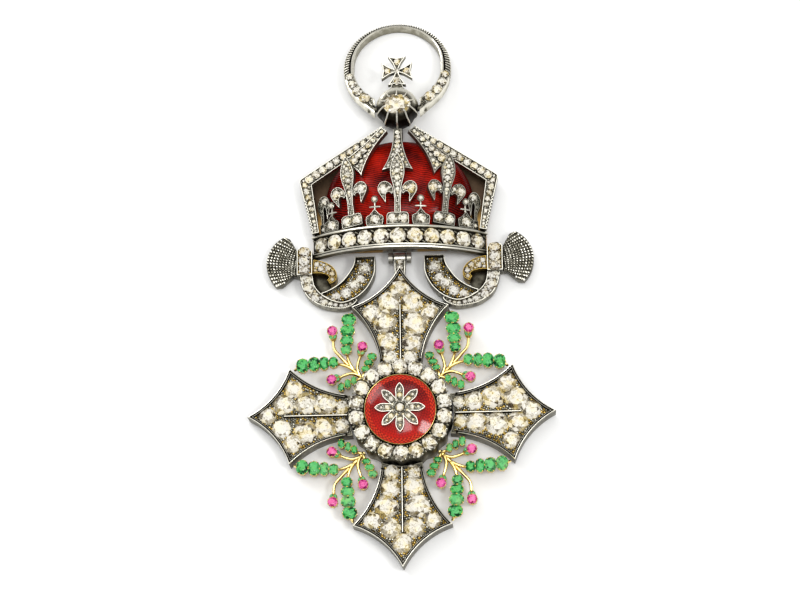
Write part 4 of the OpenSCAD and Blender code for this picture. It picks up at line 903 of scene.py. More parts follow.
def colletParts(at, u, l, b, sides):
    # a gold cup that follows a stone's oval, with six claws over its edge
    v = np.cross(zAxis, u)
    low, high = spray["z"], spray["top"]
    rows = np.array([(0.50, low + 0.05), (0.56, low + 0.5), (0.55, high - 0.35), (0.60, high - 0.05),
                     (0.60, high + 0.1), (0.54, high + 0.16), (0.47, high + 0.05), (0.44, high - 0.3)])
    t = around(sides * 4)
    radial = (np.cos(t) * l)[:, None] * u + (np.sin(t) * b)[:, None] * v
    ring = at * [1, 1, 0] + rows[:, None, :1] * (radial * (1 + 0.045 * np.cos(sides * t))[:, None])
    ring[..., 2] += rows[:, None, 1]
    t = (np.arange(6) + 0.5) / 6 * tau
    claws = at + (np.cos(t) * l * 0.56)[:, None] * u + (np.sin(t) * b * 0.56)[:, None] * v
    return [capped(ring, np.array([0.2, 0.4, 0.4, 0.9, 1, 1, 0.6, 0.1])[:, None], "gold"),
            scatter(beadForm, raised(claws[:, :2], high + 0.16), np.full(6, 0.13), "gold", 0.5)]


def budParts(at, ends, befores):
    # a gold calyx from the nearest twig's end to a ruby, with a small emerald on each side
    d = at - befores[np.linalg.norm(ends - at, axis=1).argmin()]
    d /= np.linalg.norm(d)
    across = np.array([-d[1], d[0]])
    root = np.array([*(at - d * 1.75), spray["midZ"] + 0.1])
    tip = np.array([*(at - d * 0.35), spray["top"] - 0.35])
    path = smoothLine([root, root * 0.55 + tip * 0.45, tip], 4)
    parts = [tube(path, [0.28, 0.36, 0.5, 0.62, 0.7, 0.74, 0.74, 0.7, 0.6], 12, 0.8, 0.8, "gold")]
    for side in (-1, 1):
        spot = [*(at - d * 1.05 + across * side * 0.36), spray["top"] - 0.12]
        parts.append(scatter(smallCutForm, spot, np.array([[0.9, 0.62, 0.6]]), "emerald",
                             u=np.array([*(d * 0.9 + across * side * 0.4), 0]), spread=0.12, hue=np.array([1.0])))
    return parts


rubyStones = readStones("rubies")
for number, (sx, sy) in quadrants.items():
    flip = np.diag([sx, sy, 1.0, 1.0])
    flip[1, 3] = cross["y"]
    parts = moved(twigParts(), flip)
    green = readStones("emeralds_" + number)
    mine = (np.sign(rubyStones["at"][:, 0]) == sx) & (np.sign(rubyStones["at"][:, 1] - cross["y"]) == sy)
    red = {k: v[mine] for k, v in rubyStones.items()}
    for stones, sides in ((green, 11), (red, 9)):
        for at, u, l, b in zip(stones["at"], stones["u"], stones["l"], stones["b"]):
            parts += colletParts(at, u, l, b, sides)
    befores, ends = (np.array([line[k] for line in twigs]) * [sx, sy] + [0, cross["y"]] for k in (-2, -1))
    for at in red["at"]:
        parts += budParts(at[:2], ends, befores)
    makePiece("spray" + number, parts, "spray_" + number)
    makePiece("sprayEmeralds" + number, [cutStones(green, "emerald", 1.2, 0.2, (-0.6, 0.7), 1.2)],
              "emeralds_" + number)
makePiece("sprayRubies", [cutStones(rubyStones, "ruby", 1.2, 0.14, None, 1.15)], "rubies")
print("sprays made")

crown = {"y": 9.784, "circletY": 5.434, "r": 24.2967, "turn": 41.5016, "axisZ": -15.697, "orbY": 33.334,
         "orbZ": 5.0, "orbR": 3.95, "rise": 19.6}


def onCirclet(turn, r, y=crown["y"] + 0.06):
    # a place on the circlet: a turn about its axis, a distance from the axis and a height
    return np.array(Matrix.Translation((0, y, crown["axisZ"])) @ Matrix.Rotation(math.radians(turn), 4, "Y")
                    @ Matrix.Translation((0, 0, r)))


def planeBetween(a, b, out):
    # x across, y from a towards b, z on the side that faces out
    a, b, out = (np.array(v, float) for v in (a, b, out))
    v = (b - a) / np.linalg.norm(b - a)
    n = out - (out @ v) * v
    n /= np.linalg.norm(n)
    m = np.eye(4)
    m[:3, 0], m[:3, 1], m[:3, 2], m[:3, 3] = np.cross(v, n), v, n, a
    return m


# the circlet: rows of (depth, height, wear), with a double rim below and one above
section = np.array([[-1.3, 0, 0.2], [-0.25, 0, 0.3], [-0.06, 0.06, 0.8], [0, 0.2, 1], [0, 0.34, 1],
                    [-0.1, 0.42, 0.5], [-0.13, 0.5, 0.0], [-0.02, 0.56, 0.9], [0, 0.72, 1], [-0.08, 0.82, 0.8],
                    [-0.42, 0.9, 0.0], [-0.5, 1.1, 0.0], [-0.5, 3.6, 0.0], [-0.4, 3.8, 0.1], [-0.1, 3.86, 0.8],
                    [0, 3.95, 1], [0, 4.17, 1], [-0.07, 4.29, 1], [-0.2, 4.35, 0.7], [-1.3, 4.35, 0.3]])


def onBand(r, a, y):
    # points at a distance from the circlet's axis, a turn and a height above the circlet's foot
    z, x, y = np.moveaxis(polar(r, a, y), -1, 0)
    return np.stack([x, crown["circletY"] + y, crown["axisZ"] + z], -1)


t = np.radians(np.linspace(-crown["turn"], crown["turn"], 97))[:, None]
parts = [capped(onBand(crown["r"] + section[:, 0], t, section[:, 1]), section[None, :, 2])]
stones = readStones("circlet_diamonds")
turns = np.sort(np.degrees(np.arctan2(stones["at"][:, 0], stones["at"][:, 2] - crown["axisZ"])))
between = (turns[1:] + turns[:-1]) / 2
between = np.concatenate([[2 * turns[0] - between[0]], between, [2 * turns[-1] - between[-1]]])
for y, size, shift in ((1.05, 0.2, 0.5), (1.3, 0.14, -0.5), (3.4, 0.2, -0.5), (3.2, 0.14, 0.5), (1.2, 0.2, 0),
                       (3.3, 0.2, 0)):
    a = np.radians(between + shift)
    parts.append(scatter(beadForm, onBand(crown["r"] - 0.34, a, y), np.full(len(a), size), worn=0.45,
                         u=np.column_stack([np.cos(a), 0 * a, -np.sin(a)]),
                         w=np.column_stack([np.sin(a), 0 * a, np.cos(a)])))
makePiece("circletBand", parts, "circlet")
makePiece("circletStones", [cutStones(stones, "diamond", 1.0, 0.2, (0.1, 1.0), 1.13, 0.06)],
          "circlet_diamonds")

# the cap is broadest at a share of its rise
cap = {"w": 27.4, "y": crown["y"] - 1, "rise": 18.5, "mid": 0.37, "bulge": 5.0, "z": 0.86}
low = cap["mid"] * cap["rise"]
e = np.linspace(0, math.pi / 2, 25)[:-1, None]
sx, sy, sz = np.moveaxis(polar(np.cos(e), around(96), np.sin(e)), -1, 0)
bonnet = np.stack([cap["w"] / 2 * sx, cap["y"] + low + sy * np.where(sy > 0, cap["rise"] + 1 - low, low),
                   cap["z"] + cap["bulge"] * sz], -1)
makePiece("capEnamel", [capped(bonnet, 1.0, "capRed")], "cap_enamel")

# the front arches: plates that widen from the orb to a hollow-ended foot, with a share of the width on each side
archTop = {"y": crown["orbY"] - crown["orbR"] - 0.35, "x": 2.3, "z": 4.4, "half": 0.75}
archFoot = {"w": 5.6, "r": crown["r"] - 2.45, "dip": 0.5}
arches = {"arch_centre": ("archCentre", 0.0, 0.545, 0.5, 0.5), "arch_left": ("archLeft", -23.49, 0.61, 0.38, 0.56),
          "arch_right": ("archRight", 23.49, 0.61, 0.56, 0.38)}
archStones = readStones("arch_diamonds")
for node, (name, turn, foot, rightShare, leftShare) in arches.items():
    side = np.sign(turn)
    sn, cs = math.sin(math.radians(turn)), math.cos(math.radians(turn))
    start = [side * archTop["x"], archTop["y"] + 0.1 * abs(side), archTop["z"] - 0.2 * abs(side)]
    end = [archFoot["r"] * sn, crown["y"] + crown["rise"] * foot, crown["axisZ"] + archFoot["r"] * cs]
    place = planeBetween(start, end, [sn, 0, cs])
    length = np.linalg.norm(np.array(end) - start)
    t = np.linspace(0, 1, 25) ** 0.8
    leftW, rightW = archFoot["w"] * leftShare, archFoot["w"] * rightShare
    left, right = (np.column_stack([s * (archTop["half"] + (w - archTop["half"]) * t ** 2.4), length * t])
                   for s, w in ((-1, leftW), (1, rightW)))
    f = np.linspace(0, 1, 13)[1:-1]
    footLine = np.column_stack([-leftW + (leftW + rightW) * f,
                                length - archFoot["dip"] * np.sin(math.pi * f) ** 0.7])
    outline = ccw(np.vstack([left, footLine, right[::-1]]))
    local = seenFrom(place, archStones["at"])
    near = (abs(local[:, 2]) < 3) & inside(local[:, :2], outline) & (archStones["w"] @ place[:3, 2] > 0.99)
    parts = [plate(outline, 0, 1.1, 0.17, 0.25)]
    parts += paved(outline, 0.95, circlesOf(archStones, 1.15, local)[near], 0.45, 0.2, 0.2)
    makePiece(name, moved(parts, place), node)
archStones = sunk(archStones, 0.55)
makePiece("archStones", [cutStones(archStones, "diamond", 1.0, 0.2, (0, 0.7), 1.2, 0.08)],
          "arch_diamonds")

# the outer arches: a row of stones down to the shoulder, then a notched post
far = {"archW": 2.1, "top": 3.9, "low": 2.6, "base": 1.1, "postW": 1.25, "half": 18.2, "rise": 11.1, "footX": 15.9}
shoulder = np.array([far["half"] - far["archW"] / 2, crown["y"] + far["rise"] - far["archW"] / 2])
farTop = np.array([crown["orbR"] * 0.66, crown["orbY"] - crown["orbR"] + 0.35])
farFoot = np.array([far["footX"] - far["postW"] / 2, crown["y"] + 0.06 + 0.12 * far["postW"]])


def milled(p, q, n, depth):
    # an edge with n rounded notches on its right-hand side
    d = (q - p) / n
    side = np.array([d[1], -d[0]]) / np.linalg.norm(d) * depth
    notch = ((0.06, 0), (0.24, 0.75), (0.4, 1), (0.56, 0.75), (0.74, 0), (0.9, -0.1))
    return np.array([p + d * (i + f) + side * g for i in range(n) for f, g in notch])


d1, d2 = unit(shoulder - farTop), unit(farFoot - shoulder)
n1, n2 = np.array([-d1[1], d1[0]]), np.array([-d2[1], d2[0]])
mid = (n1 + n2) / np.linalg.norm(n1 + n2)
corner = mid * far["archW"] / 2 / (mid @ n1)
(o0, i0), (o1, i1), (o2, i2) = (
    (at + w, at - w) for at, w in ((farTop, n1 * far["archW"] * 0.42), (shoulder, corner),
                                   (farFoot, n2 * far["postW"] / 2)))
outer = dense(np.vstack([o0, milled(o0 + (o1 - o0) * 0.02, o0 + (o1 - o0) * 0.3, 9, 0.22), o1 - d1 * 0.5,
                         o1 - mid * 0.12, o1 + d2 * 0.5,
                         milled(o1 + (o2 - o1) * 0.4, o1 + (o2 - o1) * 0.97, 10, 0.24), o2, i2, i1, i0]), 0.6)
onFar = ((archStones["w"][:, 2] > 0.9999) & (archStones["at"][:, 0] > 0)
         & (abs((archStones["at"][:, :2] - farTop) @ n1) < 0.3))
parts = [plate(outer, far["low"], far["top"], 0.16, 0.24)]
parts += paved(outer, far["top"] - 0.15, circlesOf(archStones, 1.17)[onFar], 0.62, 0.22, 0.22)
parts.append(sweep(ccw([o1 - [0.3, 0.3], o2 - [0.3, 0], i2, i1]),
                   [(0.05, far["base"], 0.2), (0, far["base"] + 0.05, 0.2), (0, far["low"] + 0.1, 0.2)]))
makePair("archFar", parts, "arch_far")
print("arches made")

# fleurs in their own plane: a pointed petal on a stem, a curled petal on each side and a block below
fleur = {"w": 7.2, "h": 13.8, "t": 1.1, "turn": 0.482, "lean": 6,
         "petal": [[0.06, 0.30], [0.13, 0.42], [0.23, 0.55], [0.33, 0.66], [0.36, 0.74], [0.30, 0.84], [0.16, 0.93],
                   [0.0, 1.0]],
         "curl": [[0.20, 0.455], [0.26, 0.52], [0.42, 0.572], [0.64, 0.595], [0.86, 0.575], [0.985, 0.52],
                  [0.985, 0.465], [0.88, 0.41], [0.76, 0.365], [0.66, 0.322], [0.60, 0.30], [0.585, 0.35],
                  [0.60, 0.405], [0.53, 0.443], [0.40, 0.446], [0.28, 0.415]],
         "block": [[-0.56, 0], [0.56, 0], [0.56, 0.1], [0.54, 0.135], [0.47, 0.158], [0.3, 0.165], [-0.3, 0.165],
                   [-0.47, 0.158], [-0.54, 0.135], [-0.56, 0.1]],
         "stem": [[-0.16, 0.15], [0.16, 0.15], [0.15, 0.33], [0.2, 0.46], [-0.2, 0.46], [-0.15, 0.33]],
         "petalStones": [(0, 8.9, 0.62), (0, 10.2, 0.6), (0, 7.65, 0.5), (0, 11.3, 0.42)],
         "blockStones": [[-0.95, 1.12, 0.93], [0.95, 1.12, 0.93]]}
ft = fleur["t"]
fleurScale = np.array([fleur["w"] / 2, fleur["h"]])
petal = doubled(smoothLine(fleur["petal"], 4) * fleurScale)
curl = smoothLine(fleur["curl"], 3) * fleurScale
block, stem = (dense(np.array(fleur[key]) * fleurScale, 0.5) for key in ("block", "stem"))


def fleurParts():
    # stones and grains draw their tones and wear anew for each fleur
    parts = [plate(petal, 0, ft, 0.14, floor=0.3), plate(stem, 0.05, ft - 0.06, 0.16, 0.16, floor=0.7),
             plate(block, 0, ft, 0.13, 0.2, floor=0.3)]
    parts += paved(petal, ft - 0.14, fleur["petalStones"], 0.42, 0.17, 0.16)
    parts.append(stonesOn(fleur["petalStones"], ft - 0.14, hue=(0, 0.6)))
    ticks = np.array([[side * 0.2, y, 0.16] for side in (-1, 1) for y in np.arange(2.6, 5.4, 0.34)])
    parts += [beadsOn(ticks, ft - 0.18, worn=(0.5, 1.0)), stonesOn(fleur["blockStones"], ft - 0.1, hue=(0, 0.6)),
              grainsOn(block, [(-0.92, 1.08, 0.72), (0.92, 1.08, 0.72)], ft - 0.1, 0.14, 0.07, 0.18)]
    for flip in (1, -1):
        line = ccw(curl * [flip, 1])
        heads = np.array([(0.72, 0.487, 0.95), (0.40, 0.505, 0.42)]) * [flip * fleurScale[0], fleurScale[1], 1]
        parts += [plate(line, 0, ft, 0.13, 0.2, floor=0.4), stonesOn(heads, ft - 0.1),
                  grainsOn(line, heads, ft - 0.1, 0.2, 0.07, 0.15, worn=(0.3, 1.0))]
    return parts


fleurR = crown["r"] - ft - 0.1
for side, word in ((0, "Centre"), (-1, "Left"), (1, "Right")):
    lean = math.radians(fleur["lean"])
    lift = np.array(Matrix.Rotation(-side * lean, 4, "Z")
                    @ Matrix.Translation((0, abs(side) * math.sin(lean) * fleur["w"] * 0.28, 0)))
    place = onCirclet(side * fleur["turn"] * crown["turn"], fleurR)
    makePiece("fleur" + word, moved(fleurParts(), place @ lift), "fleur_" + word.lower())

# the half fleurs at the ends stand on the cap's side
halfFleur = {"turn": 0.8915 * crown["turn"], "capX": 13.7, "facing": -10, "head": (-0.1, 0.46, 0.74),
             "line": [[0.09, 0.13], [0.10, 0.25], [0.28, 0.34], [0.29, 0.44], [0.10, 0.525], [-0.16, 0.53],
                      [-0.36, 0.46], [-0.41, 0.36], [-0.33, 0.26], [-0.29, 0.19], [-0.22, 0.27], [-0.19, 0.35],
                      [-0.10, 0.385], [-0.03, 0.34], [-0.07, 0.25], [-0.07, 0.13]],
             "foot": [[-0.19, 0], [0.15, 0], [0.15, 0.14], [-0.19, 0.14]]}
line = ccw(smoothLine(halfFleur["line"], 3) * fleurScale)
foot = dense(np.array(halfFleur["foot"]) * fleurScale, 0.5)
head = np.array([halfFleur["head"]]) * [*fleurScale, 1]
parts = [plate(line, 0, ft, 0.15, 0.25), plate(foot, 0, ft, 0.16, 0.2),
         stonesOn(head, ft - 0.1), grainsOn(line, head, ft - 0.1, 0.14, 0.07, 0.15),
         stonesOn([(-0.02 * fleurScale[0], 0.07 * fleurScale[1], 0.4)], ft - 0.08, form=smallCutForm)]
sn, cs = (f(math.radians(halfFleur["turn"])) for f in (math.sin, math.cos))
halfR = math.hypot(halfFleur["capX"] * sn, cap["bulge"] * cs) + (cap["z"] - crown["axisZ"]) * cs + 0.06
parts = moved(parts, onCirclet(halfFleur["turn"], halfR) @ placed(angle=halfFleur["facing"], axis="Y"))
makePair("fleurFar", parts, "fleur_far")

# pearl mounts: a gabled foot with a stone, a bar across the neck, and a stone in a round rim
mount = {"w": 3.3, "h": 5.6, "ballY": 4.956, "barY": 3.53, "turns": (-0.737, -0.241, 0.241, 0.737),
         "gable": [[-0.90, 0], [-0.98, 0.27], [-0.55, 0.36], [-0.16, 0.5], [0, 0.56]]}
gable = doubled(smoothLine(mount["gable"], 3) * [mount["w"] / 2, mount["h"]])
neck = dense(stripOutline(np.array([[0, 2.6], [0, 4.6]]), 0.3, 0.3), 0.4)
bar = [[x, mount["barY"], z] for x, z in ((-1.02, 0.75), (-0.5, 0.8), (0.5, 0.8), (1.02, 0.75))]
ballRim = spun([(0.3, 0.0), (0.5, 0.2), (0.62, 0.7), (0.64, 0.85), (0.58, 0.93), (0.48, 0.85)], 24,
               [0.2, 0.2, 0.5, 1, 1, 0.3])
mountParts = [plate(gable, 0, ft, 0.13, 0.25), sweep(neck, [(0, 0.2, 0.4), (0, 0.8, 0.9), (0.08, 0.9, 1)]),
              tube(bar, [0.1, 0.17, 0.17, 0.1]), *moved([ballRim], placed(0, mount["ballY"], 0.2)),
              stonesOn([[0, mount["ballY"], 0.46]], 1.08, spread=0.08), stonesOn([[0, 1.08, 0.92]], ft - 0.1),
              grainsOn(gable, [(0, 1.05, 0.78)], ft - 0.1, 0.15, 0.07, 0.18)]
for k, turn in enumerate(mount["turns"], 1):
    makePiece("pearlMount%d" % k, moved(mountParts, onCirclet(turn * crown["turn"], fleurR)),
              "pearl_mount_%d" % k)
print("crown front made")

# the orb: ten flutes that fade towards its upper side, a seat for its stone, claws and two side pins
R = crown["orbR"]
orb = {"stoneW": 2.45, "stoneH": 1.85, "table": R * 0.62, "claws": 10, "pinR": 0.6}
orbPlace = placed(0, crown["orbY"], crown["orbZ"])
a = around(200)
e = np.radians(np.linspace(-88, 32, 44))[:, None]
front = np.clip(0.15 - 1.5 * np.sin(a), 0, 1)
flute = (0.5 + 0.5 * np.cos(orb["claws"] * a)) ** 0.35 * front
deep = np.clip(1 - np.abs(np.degrees(e) - 6) / 40, 0, 1) ** 0.35
r = R * (1 - 0.13 * deep * flute)
ball = polar(r * np.cos(e), a, r * np.sin(e))
seat = np.array([polar(k, a, z) * [orb["stoneW"], orb["stoneH"], 1]
                 for k, z in ((1.1, orb["table"] - 0.05), (1.02, orb["table"] + 0.05))])
# the flutes' hollows are worn dark; the upper side is painted brighter than wear alone gives, and the lower front
# is painted dark as shade beneath the ball
worn = np.clip(1.3 - 3.0 * deep ** 0.5 * flute ** 0.5, -0.5, 1.3) - 0.9 * front * (e < -0.3)
parts = [capped(np.vstack([ball, seat]), np.vstack([worn, np.full((1, 200), 0.1), np.full((1, 200), 0.3)]))]
for k in range(orb["claws"]):
    t = (k + 0.5) * tau / orb["claws"]
    out = np.array([math.cos(t), math.sin(t)])
    rim = out * [orb["stoneW"], orb["stoneH"]]
    path = [[*(rim * share), orb["table"] + z] for share, z in ((0.86, 0.36), (0.97, 0.36), (1.08, 0.16))]
    lowClaw = ((0.84, 0.5), (0.985, 0.12), (0.93, -0.36))
    path += [[*(out * R * share), R * z] for share, z in (lowClaw if out[1] < -0.2 else ((0.86, 0.47),))]
    path = smoothLine(path, 3)
    parts.append(tube(path, np.linspace(0.24, 0.1, len(path))))
for side in (-1, 1):
    parts.append(tube([[side * (R + x), 0, 0] for x in (-0.5, 0.8, 1.5)], orb["pinR"], 20, 1.0, 0.5))
makePiece("orbBall", moved(parts, orbPlace), "orb")
makePiece("orbStone", [cutStones(readStones("orb_diamond"), "diamond", 1.0, 0.2, (0.9, 1.0), 1.06, 0.04)],
          "orb_diamond")

# the small cross: four arms that widen, a foot and a round middle, in shares of half its width
half, thick = 5.7 / 2, 1.3
middle = half + R + 0.55
wide = np.array([[0.5, -0.25], [1, -0.58], [0.93, -0.25], [0.88, 0], [0.93, 0.25], [1, 0.58], [0.5, 0.25]]) * half
arm = dense(np.vstack([[[0.1, -0.2]], wide, [[0.1, 0.2]]]), 0.3)
flat = placed(0, 0, -thick / 2)
parts = []
for k in range(4):
    stone = [(half * 0.64, 0, 0.68)]
    parts += moved([plate(arm, 0, thick, 0.2, 0.35), stonesOn(stone, thick - 0.15, form=smallCutForm),
                    grainsOn(arm, stone, thick - 0.15, 0.13, 0.06, 0.14, step=0.05)],
                   placed(0, middle, -thick / 2, 90 * k))
foot = dense([[-1.25, R - 0.1], [1.25, R - 0.1], [0.42, middle - half * 0.45], [-0.42, middle - half * 0.45]], 0.3)
footStone = [[0, R + 0.95, 0.42]]
parts += moved([plate(foot, 0, thick, 0.14, 0.25), stonesOn(footStone, thick - 0.1, form=smallCutForm)], flat)
parts += moved([spun([(0.2, 0.2), (0.52, 0.3), (0.52, thick), (0.42, thick + 0.05), (0.36, thick - 0.1)], 20)],
               placed(0, middle, -thick / 2))
parts += moved([stonesOn([[0, middle, 0.4]], thick)], flat)
makePiece("orbCross", moved(parts, orbPlace), "orb_cross")

# the ring: milled all round but for the foot, which is cut off straight beside the orb and set with stones
ring = {"r": 10.0, "bore": 8.1, "throw": 8.6, "tilt": 12.38, "low": 0.2, "high": 1.2, "outFrom": -67.44,
        "inFrom": -58.44, "milledTo": 104, "groove": 0.3, "pull": 0.34}
t = np.linspace(0, 1, 1601)
oa, ia = (np.radians(start + t * (180 - 2 * start)) for start in (ring["outFrom"], ring["inFrom"]))
oc, os_, ic, is_ = np.cos(oa), np.sin(oa), np.cos(ia), np.sin(ia)
chord = 14.1421 / np.maximum(np.abs(oc) - os_, 1e-6)
outR = np.where(os_ < -0.70711, np.minimum(chord, 14.2), ring["r"])
# the bore is where two circles overlap, whose middles lie a little above the ring's
inR = np.maximum(*(c * is_ + np.sqrt(ring["bore"] ** 2 - (c * ic) ** 2) for c in (ring["low"], ring["high"])))
outer = np.column_stack([outR * oc, outR * os_])
inner = np.column_stack([inR * ic, inR * is_])
degA = np.degrees(oa)
fromTop = np.abs(degA - 90)
cut = fromTop < ring["milledTo"]
phase = np.cumsum(1 / (2.7 + 0.9 * np.clip(fromTop / ring["milledTo"], 0, 1))) * (degA[1] - degA[0]) * tau
# across the ring: share of the width, height where milled, height where set, wear and depth of the grooves
across = np.array([[0, -1, -1, 0.4, 0], [0, 0.75, 0.75, 0.6, 1], [0.03, 0.92, 0.92, 1, 1], [0.2, 1, 1, 1, 1],
                   [0.42, 1, 0.78, 1, 0.9], [0.56, 0.96, 0.75, 0.7, 0.4], [0.62, 0.6, 0.75, 0, 0],
                   [0.70, 0.6, 0.75, 0, 0], [0.76, 1, 0.75, 1, 0], [0.9, 1, 0.98, 1, 0], [0.98, 0.92, 0.95, 0.9, 0],
                   [1, 0.75, 0.75, 0.4, 0], [1, -1, -1, 0.3, 0]])
shares, upper, lower, wornRow, depth = across.T
width = np.linalg.norm(outer - inner, axis=1)
band = (np.minimum(1.25, width * 0.62) / width)[:, None]
scale = np.where(shares <= 0.66, shares / 0.66 * band, band + (shares - 0.66) / 0.34 * (1 - band))
xy = outer[:, None] + (inner - outer)[:, None] * scale[..., None]
slant = np.sign(degA - 90)[:, None] * scale * width[:, None] * 1.8 * (fromTop / 100)[:, None]
groove = (0.5 + 0.5 * np.cos(phase[:, None] + slant)) * cut[:, None] * (shares < 0.63)
z = np.where(cut[:, None], upper, lower) - ring["groove"] * groove * depth
pull = ring["pull"] * groove[:, :2].max(1)
xy[:, :3] -= (unit(outer) * pull[:, None])[:, None] * np.array([1, 1, 0.8])[:, None]
xy[:, 0] = xy[:, 1]
z[:, 0] = -1
place = placed(0, crown["orbY"], crown["orbZ"], -ring["tilt"], "X")
parts = [capped(np.concatenate([xy + [0, ring["throw"]], z[..., None]], -1),
                np.clip(wornRow * (1.6 - 2.4 * groove), 0, 1))]
stones = readStones("ring_diamonds")
local = seenFrom(place, stones["at"])
taken = circlesOf(stones, 1.0, local)
for side in (-1, 1):
    lows = np.flatnonzero((fromTop > ring["milledTo"] + 2) & (np.sign(oc) == side))[::8]
    area = ccw(np.vstack([outer[lows], inner[lows][::-1]]) + [0, ring["throw"]])
    parts.append(grainsOn(area, taken[np.sign(local[:, 0]) == side], 1.02, 0.22, 0.1, 0.22, -0.05))
makePiece("suspensionRing", moved(parts, place), "suspension_ring")
makePiece("ringStones", [cutStones(sunk(stones, 0.6), "diamond", 1.0, 0.2, (0, 0.8), 1.08)],
          "ring_diamonds")
print("orb and ring made")

# the ribbons: a strand in front, one behind, a gilt scroll and a collar
ribbon = {"z": 0.86, "top": 3.9, "lowTop": 3.45, "collarX": 17.3, "collarW": 2.8, "collarH": 5.0,
          "strandOut": [[14.2, -1.9], [12.3, -2.95], [10.3, -3.35], [8.0, -2.5], [5.95, -0.7], [4.7, 1.65],
                        [4.45, 3.4], [4.45, 5.3]],
          "strandIn": [[8.1, 5.3], [8.55, 3.4], [10.2, 1.0], [11.8, -0.3], [13.2, -1.05], [14.2, -1.4]],
          "backOut": [[18.2, 2.1], [17.8, 0.1], [16.7, -2.0], [14.6, -3.5], [12.6, -4.1], [10.3, -4.3], [8.6, -3.7],
                      [7.7, -2.8]],
          "backIn": [[8.2, -2.3], [10.3, -2.6], [12.3, -2.3], [14.2, -1.5], [15.5, 0.1], [15.9, 2.1]],
          "scroll": [[15.8, 3.7], [14.3, 3.5], [13.0, 3.0], [12.25, 2.2], [12.2, 1.3], [12.9, 0.75]],
          "well": [[15.9, 2.6], [13.2, 2.6], [12.6, 0.6], [13.4, -1.0], [15.0, -1.1], [15.9, 0.4]]}
z0, top, lowTop = ribbon["z"], ribbon["top"], ribbon["lowTop"]
stones = sunk(readStones("ribbon_right_diamonds"), 0.6)
strand, behind = (ccw(np.vstack([smoothLine(ribbon[side], 5) for side in pair]))
                  for pair in (("strandOut", "strandIn"), ("backOut", "backIn")))
scroll = stripOutline(smoothLine(ribbon["scroll"], 5), 2.6, 0.9)
flatAt = stones["at"][:, :2]
onBehind = inside(flatAt, behind) & ~inside(flatAt, strand)
stones["at"][onBehind, 2] -= top - lowTop
keep = onBehind | (edgeDistance(flatAt, strand) > 0.5)
print("ribbon stones kept:", keep.sum(), "of", len(keep))
stones = {k: v[keep] for k, v in stones.items()}
taken = circlesOf(stones, 1.2)
parts = [plate(strand, z0, top, 0.16, 0.5, floor=0.0), plate(behind, z0, lowTop, 0.16, 0.3, floor=0.0),
         plate(scroll, z0, top - 0.2, 0.12, 0.3, finish="gold", floor=0.0)]
parts[-1]["worn"] = parts[-1]["worn"] * 0.45
parts += mixedGrains(fillRound(strand, taken, 0.22, 0.08, -0.03, 0.4), top - 0.42, 0.4, (0.2, 1.0), (0.0, 0.5))
underStrand = fillRound(strand, (), 0.6, 0.2, -0.2, 0)
parts += paved(behind, lowTop - 0.16, np.vstack([taken, underStrand]), 0.5, 0.26, 0.2, "warmDiamond", (0, 0.8))
parts += paved(scroll, top - 0.36, (), 0.62, 0.2, 0.16, "warmDiamond", (0.8, 1), oldCutForm, "gold")
# a dark plate put in the hollow between scroll, collar and strands, painted as its deep shadow
parts.append(sweep(dense(ribbon["well"], 0.5), [(0, z0, 0.0), (0, 1.9, 0.0)]))
collarTop = crown["circletY"] + 1.65
collarFoot = collarTop - ribbon["collarH"]
x0, x1 = (ribbon["collarX"] + side * ribbon["collarW"] / 2 for side in (-1, 1))
collar = dense([[x0, collarFoot], [x1, collarFoot], [x1, collarTop - 0.4], [x1 - 0.3, collarTop],
                [x0 + 0.3, collarTop - 0.3], [x0, collarTop - 0.6]], 0.5)
parts.append(plate(collar, z0, top + 0.15, 0.18, 0.3))
parts += paved(collar, top - 0.05, taken, 0.5, 0.2, 0.22, "warmDiamond", (0.7, 1), metal="gold")
ticks = smoothLine(ribbon["backOut"][3:7], 6)
side = np.gradient(ticks, axis=0)
side = unit(np.column_stack([side[:, 1], -side[:, 0]]))
parts.append(scatter(beadForm, raised(ticks + side * 0.12, lowTop - 0.05),
                     np.tile([0.3, 0.09, 0.16], (len(ticks), 1)), worn=0.9, u=raised(side, 0)))
makePair("ribbon", parts, "ribbon")
makePair("ribbon", [cutStones(stones, "warmDiamond", 1.0, 0.22, (0, 0.9), 1.36, 0.07)], "ribbon",
         "Stones", "_diamonds")

# the fringe: a fan of threads closed by rows of beads
fan = {"len": 5.6, "w": 9.6, "t": 2.0, "turn": 9, "bow": 2.5, "root": 2.4, "rows": 10, "count": 17}
half, root, length = fan["w"] / 2, fan["root"], fan["len"]
r = (half ** 2 + fan["bow"] ** 2) / (2 * fan["bow"])
endTurn = math.asin(half / r)
t = np.linspace(-endTurn, endTurn, 25)
edge = np.column_stack([length - r + r * np.cos(t), r * np.sin(t)])
line = np.vstack([[[-0.6, -root], [0.3, -root], [length * 0.36, -half * 0.93]], edge,
                  [[length * 0.36, half * 0.93], [0.3, root], [-0.6, root]]])
c, s = deg(fan["turn"])
fanTurn = np.array([[c, s], [-s, c]])
line = line @ fanTurn
line[:, 0] = np.maximum(line[:, 0], 0.02)
line = dense(line, 0.4)
share = (np.arange(fan["rows"])[:, None] + 0.5) / fan["rows"]
v = np.linspace(-1, 1, fan["count"])
x = share * (length + 0.1) - fan["bow"] * share * v * v
y = v * (root + (half * 0.97 - root) * share ** 0.75)
found = np.stack([x, y, 0.16 + 0.12 * share + 0 * v], -1).reshape(-1, 3)
found[:, :2] = found[:, :2] @ fanTurn
found = found[inside(found[:, :2], line) & (edgeDistance(found[:, :2], line) > 0.1)]
parts = [sweep(line, [(0.05, 0, 0.2), (0, 0.05, 0.2), (0, fan["t"] - 0.3, 0.0)]),
         beadsOn(found, fan["t"] - 0.28, high=1.0, worn=(0.45, 1.0)),
         grainsOn(line, found, fan["t"] - 0.3, 0.15, 0.08, 0.05, -0.06, worn=(0.1, 0.7))]
parts = moved(parts, placed(18.76, collarTop - 2.5, z0))
makePair("fringe", parts, "fringe")
print("ribbons made")

backMaterials = frame["nodes"]["crown_back"].data.materials
backMaterials.clear()
backMaterials.append(materials["backGold"])


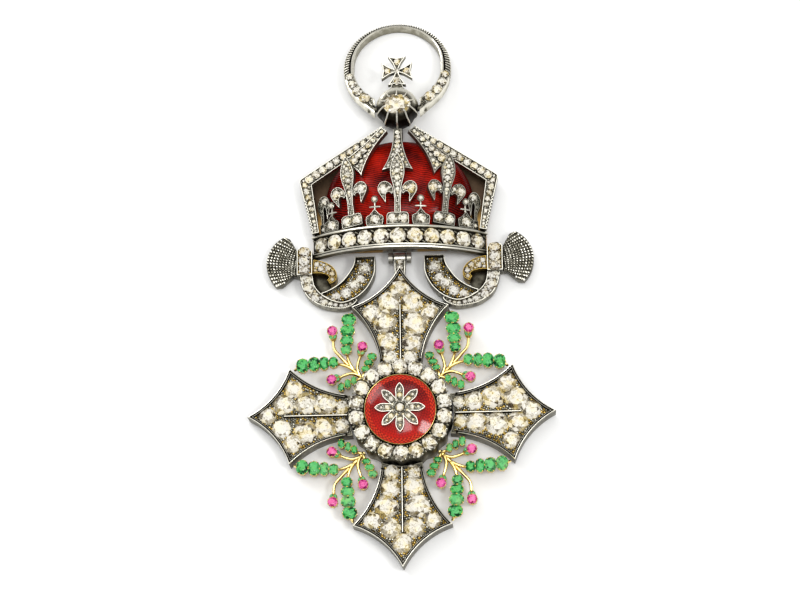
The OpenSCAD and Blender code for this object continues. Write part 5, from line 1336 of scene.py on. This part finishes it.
# back points from the badge to the camera; the camera stands far mm away
view = {"back": (0.0479, -0.2829, 0.9580), "roll": 0.671, "far": 403.33, "focalPixels": 2211.7, "pixels": 800,
        "target": (-0.177, -2.0, 0.0), "sensor": 36}
back = Vector(view["back"]).normalized()
right = Vector((0, 1, 0)).cross(back).normalized()
up = back.cross(right)
c, s = (float(v) for v in deg(view["roll"]))
camera = addObject("camera", bpy.data.cameras.new("camera"))
camera.data.sensor_width = view["sensor"]
camera.data.lens = view["focalPixels"] / view["pixels"] * view["sensor"]
camera.data.clip_start, camera.data.clip_end = 0.01, 10
at = (Vector(view["target"]) + back * view["far"]) * 0.001
pose = Matrix((c * right - s * up, s * right + c * up, back)).transposed().to_4x4()
camera.matrix_world = Matrix.Translation(at) @ pose
bpy.context.scene.camera = camera

floorMesh = bpy.data.meshes.new("floor")
floorMesh.from_pydata([(-3, -3, 0), (3, -3, 0), (3, 3, 0), (-3, 3, 0)], [], [(0, 1, 2, 3)])
Paint("paper").finish(Base_Color=(0.93, 0.93, 0.92), Roughness=0.7)
floorMesh.materials.append(materials["paper"])
addObject("floor", floorMesh)

# square lamps that face the badge, each with its place, width and the glow of its face
lamps = {"keyLight": ((-0.42, 0.42, 0.52), 0.30, 5.0), "topLight": ((-0.04, 0.20, 0.66), 0.50, 1.4),
         "frontLight": ((0.02, -0.10, 0.78), 0.22, 9.0), "sideLight": ((0.28, -0.12, 0.58), 0.14, 17.0)}
for name, (at, size, glow) in lamps.items():
    lamp = bpy.data.lights.new(name, "AREA")
    lamp.size, lamp.energy = size, glow * math.pi * size * size
    light = addObject(name, lamp)
    light.location = at
    light.rotation_euler = Vector(at).to_track_quat("Z", "Y").to_euler()
world = bpy.data.worlds.new("studio")
bpy.context.scene.world = world
world.use_nodes = True
sky = world.node_tree.nodes["Background"].inputs
sky[0].default_value, sky[1].default_value = (1, 1, 1, 1), 0.55
bpy.context.scene.view_settings.view_transform = "Standard"

triangles = sum(len(p.data.loops) - 2 * len(p.data.polygons) for p in made)
print("pieces:", len(made), "triangles:", triangles)
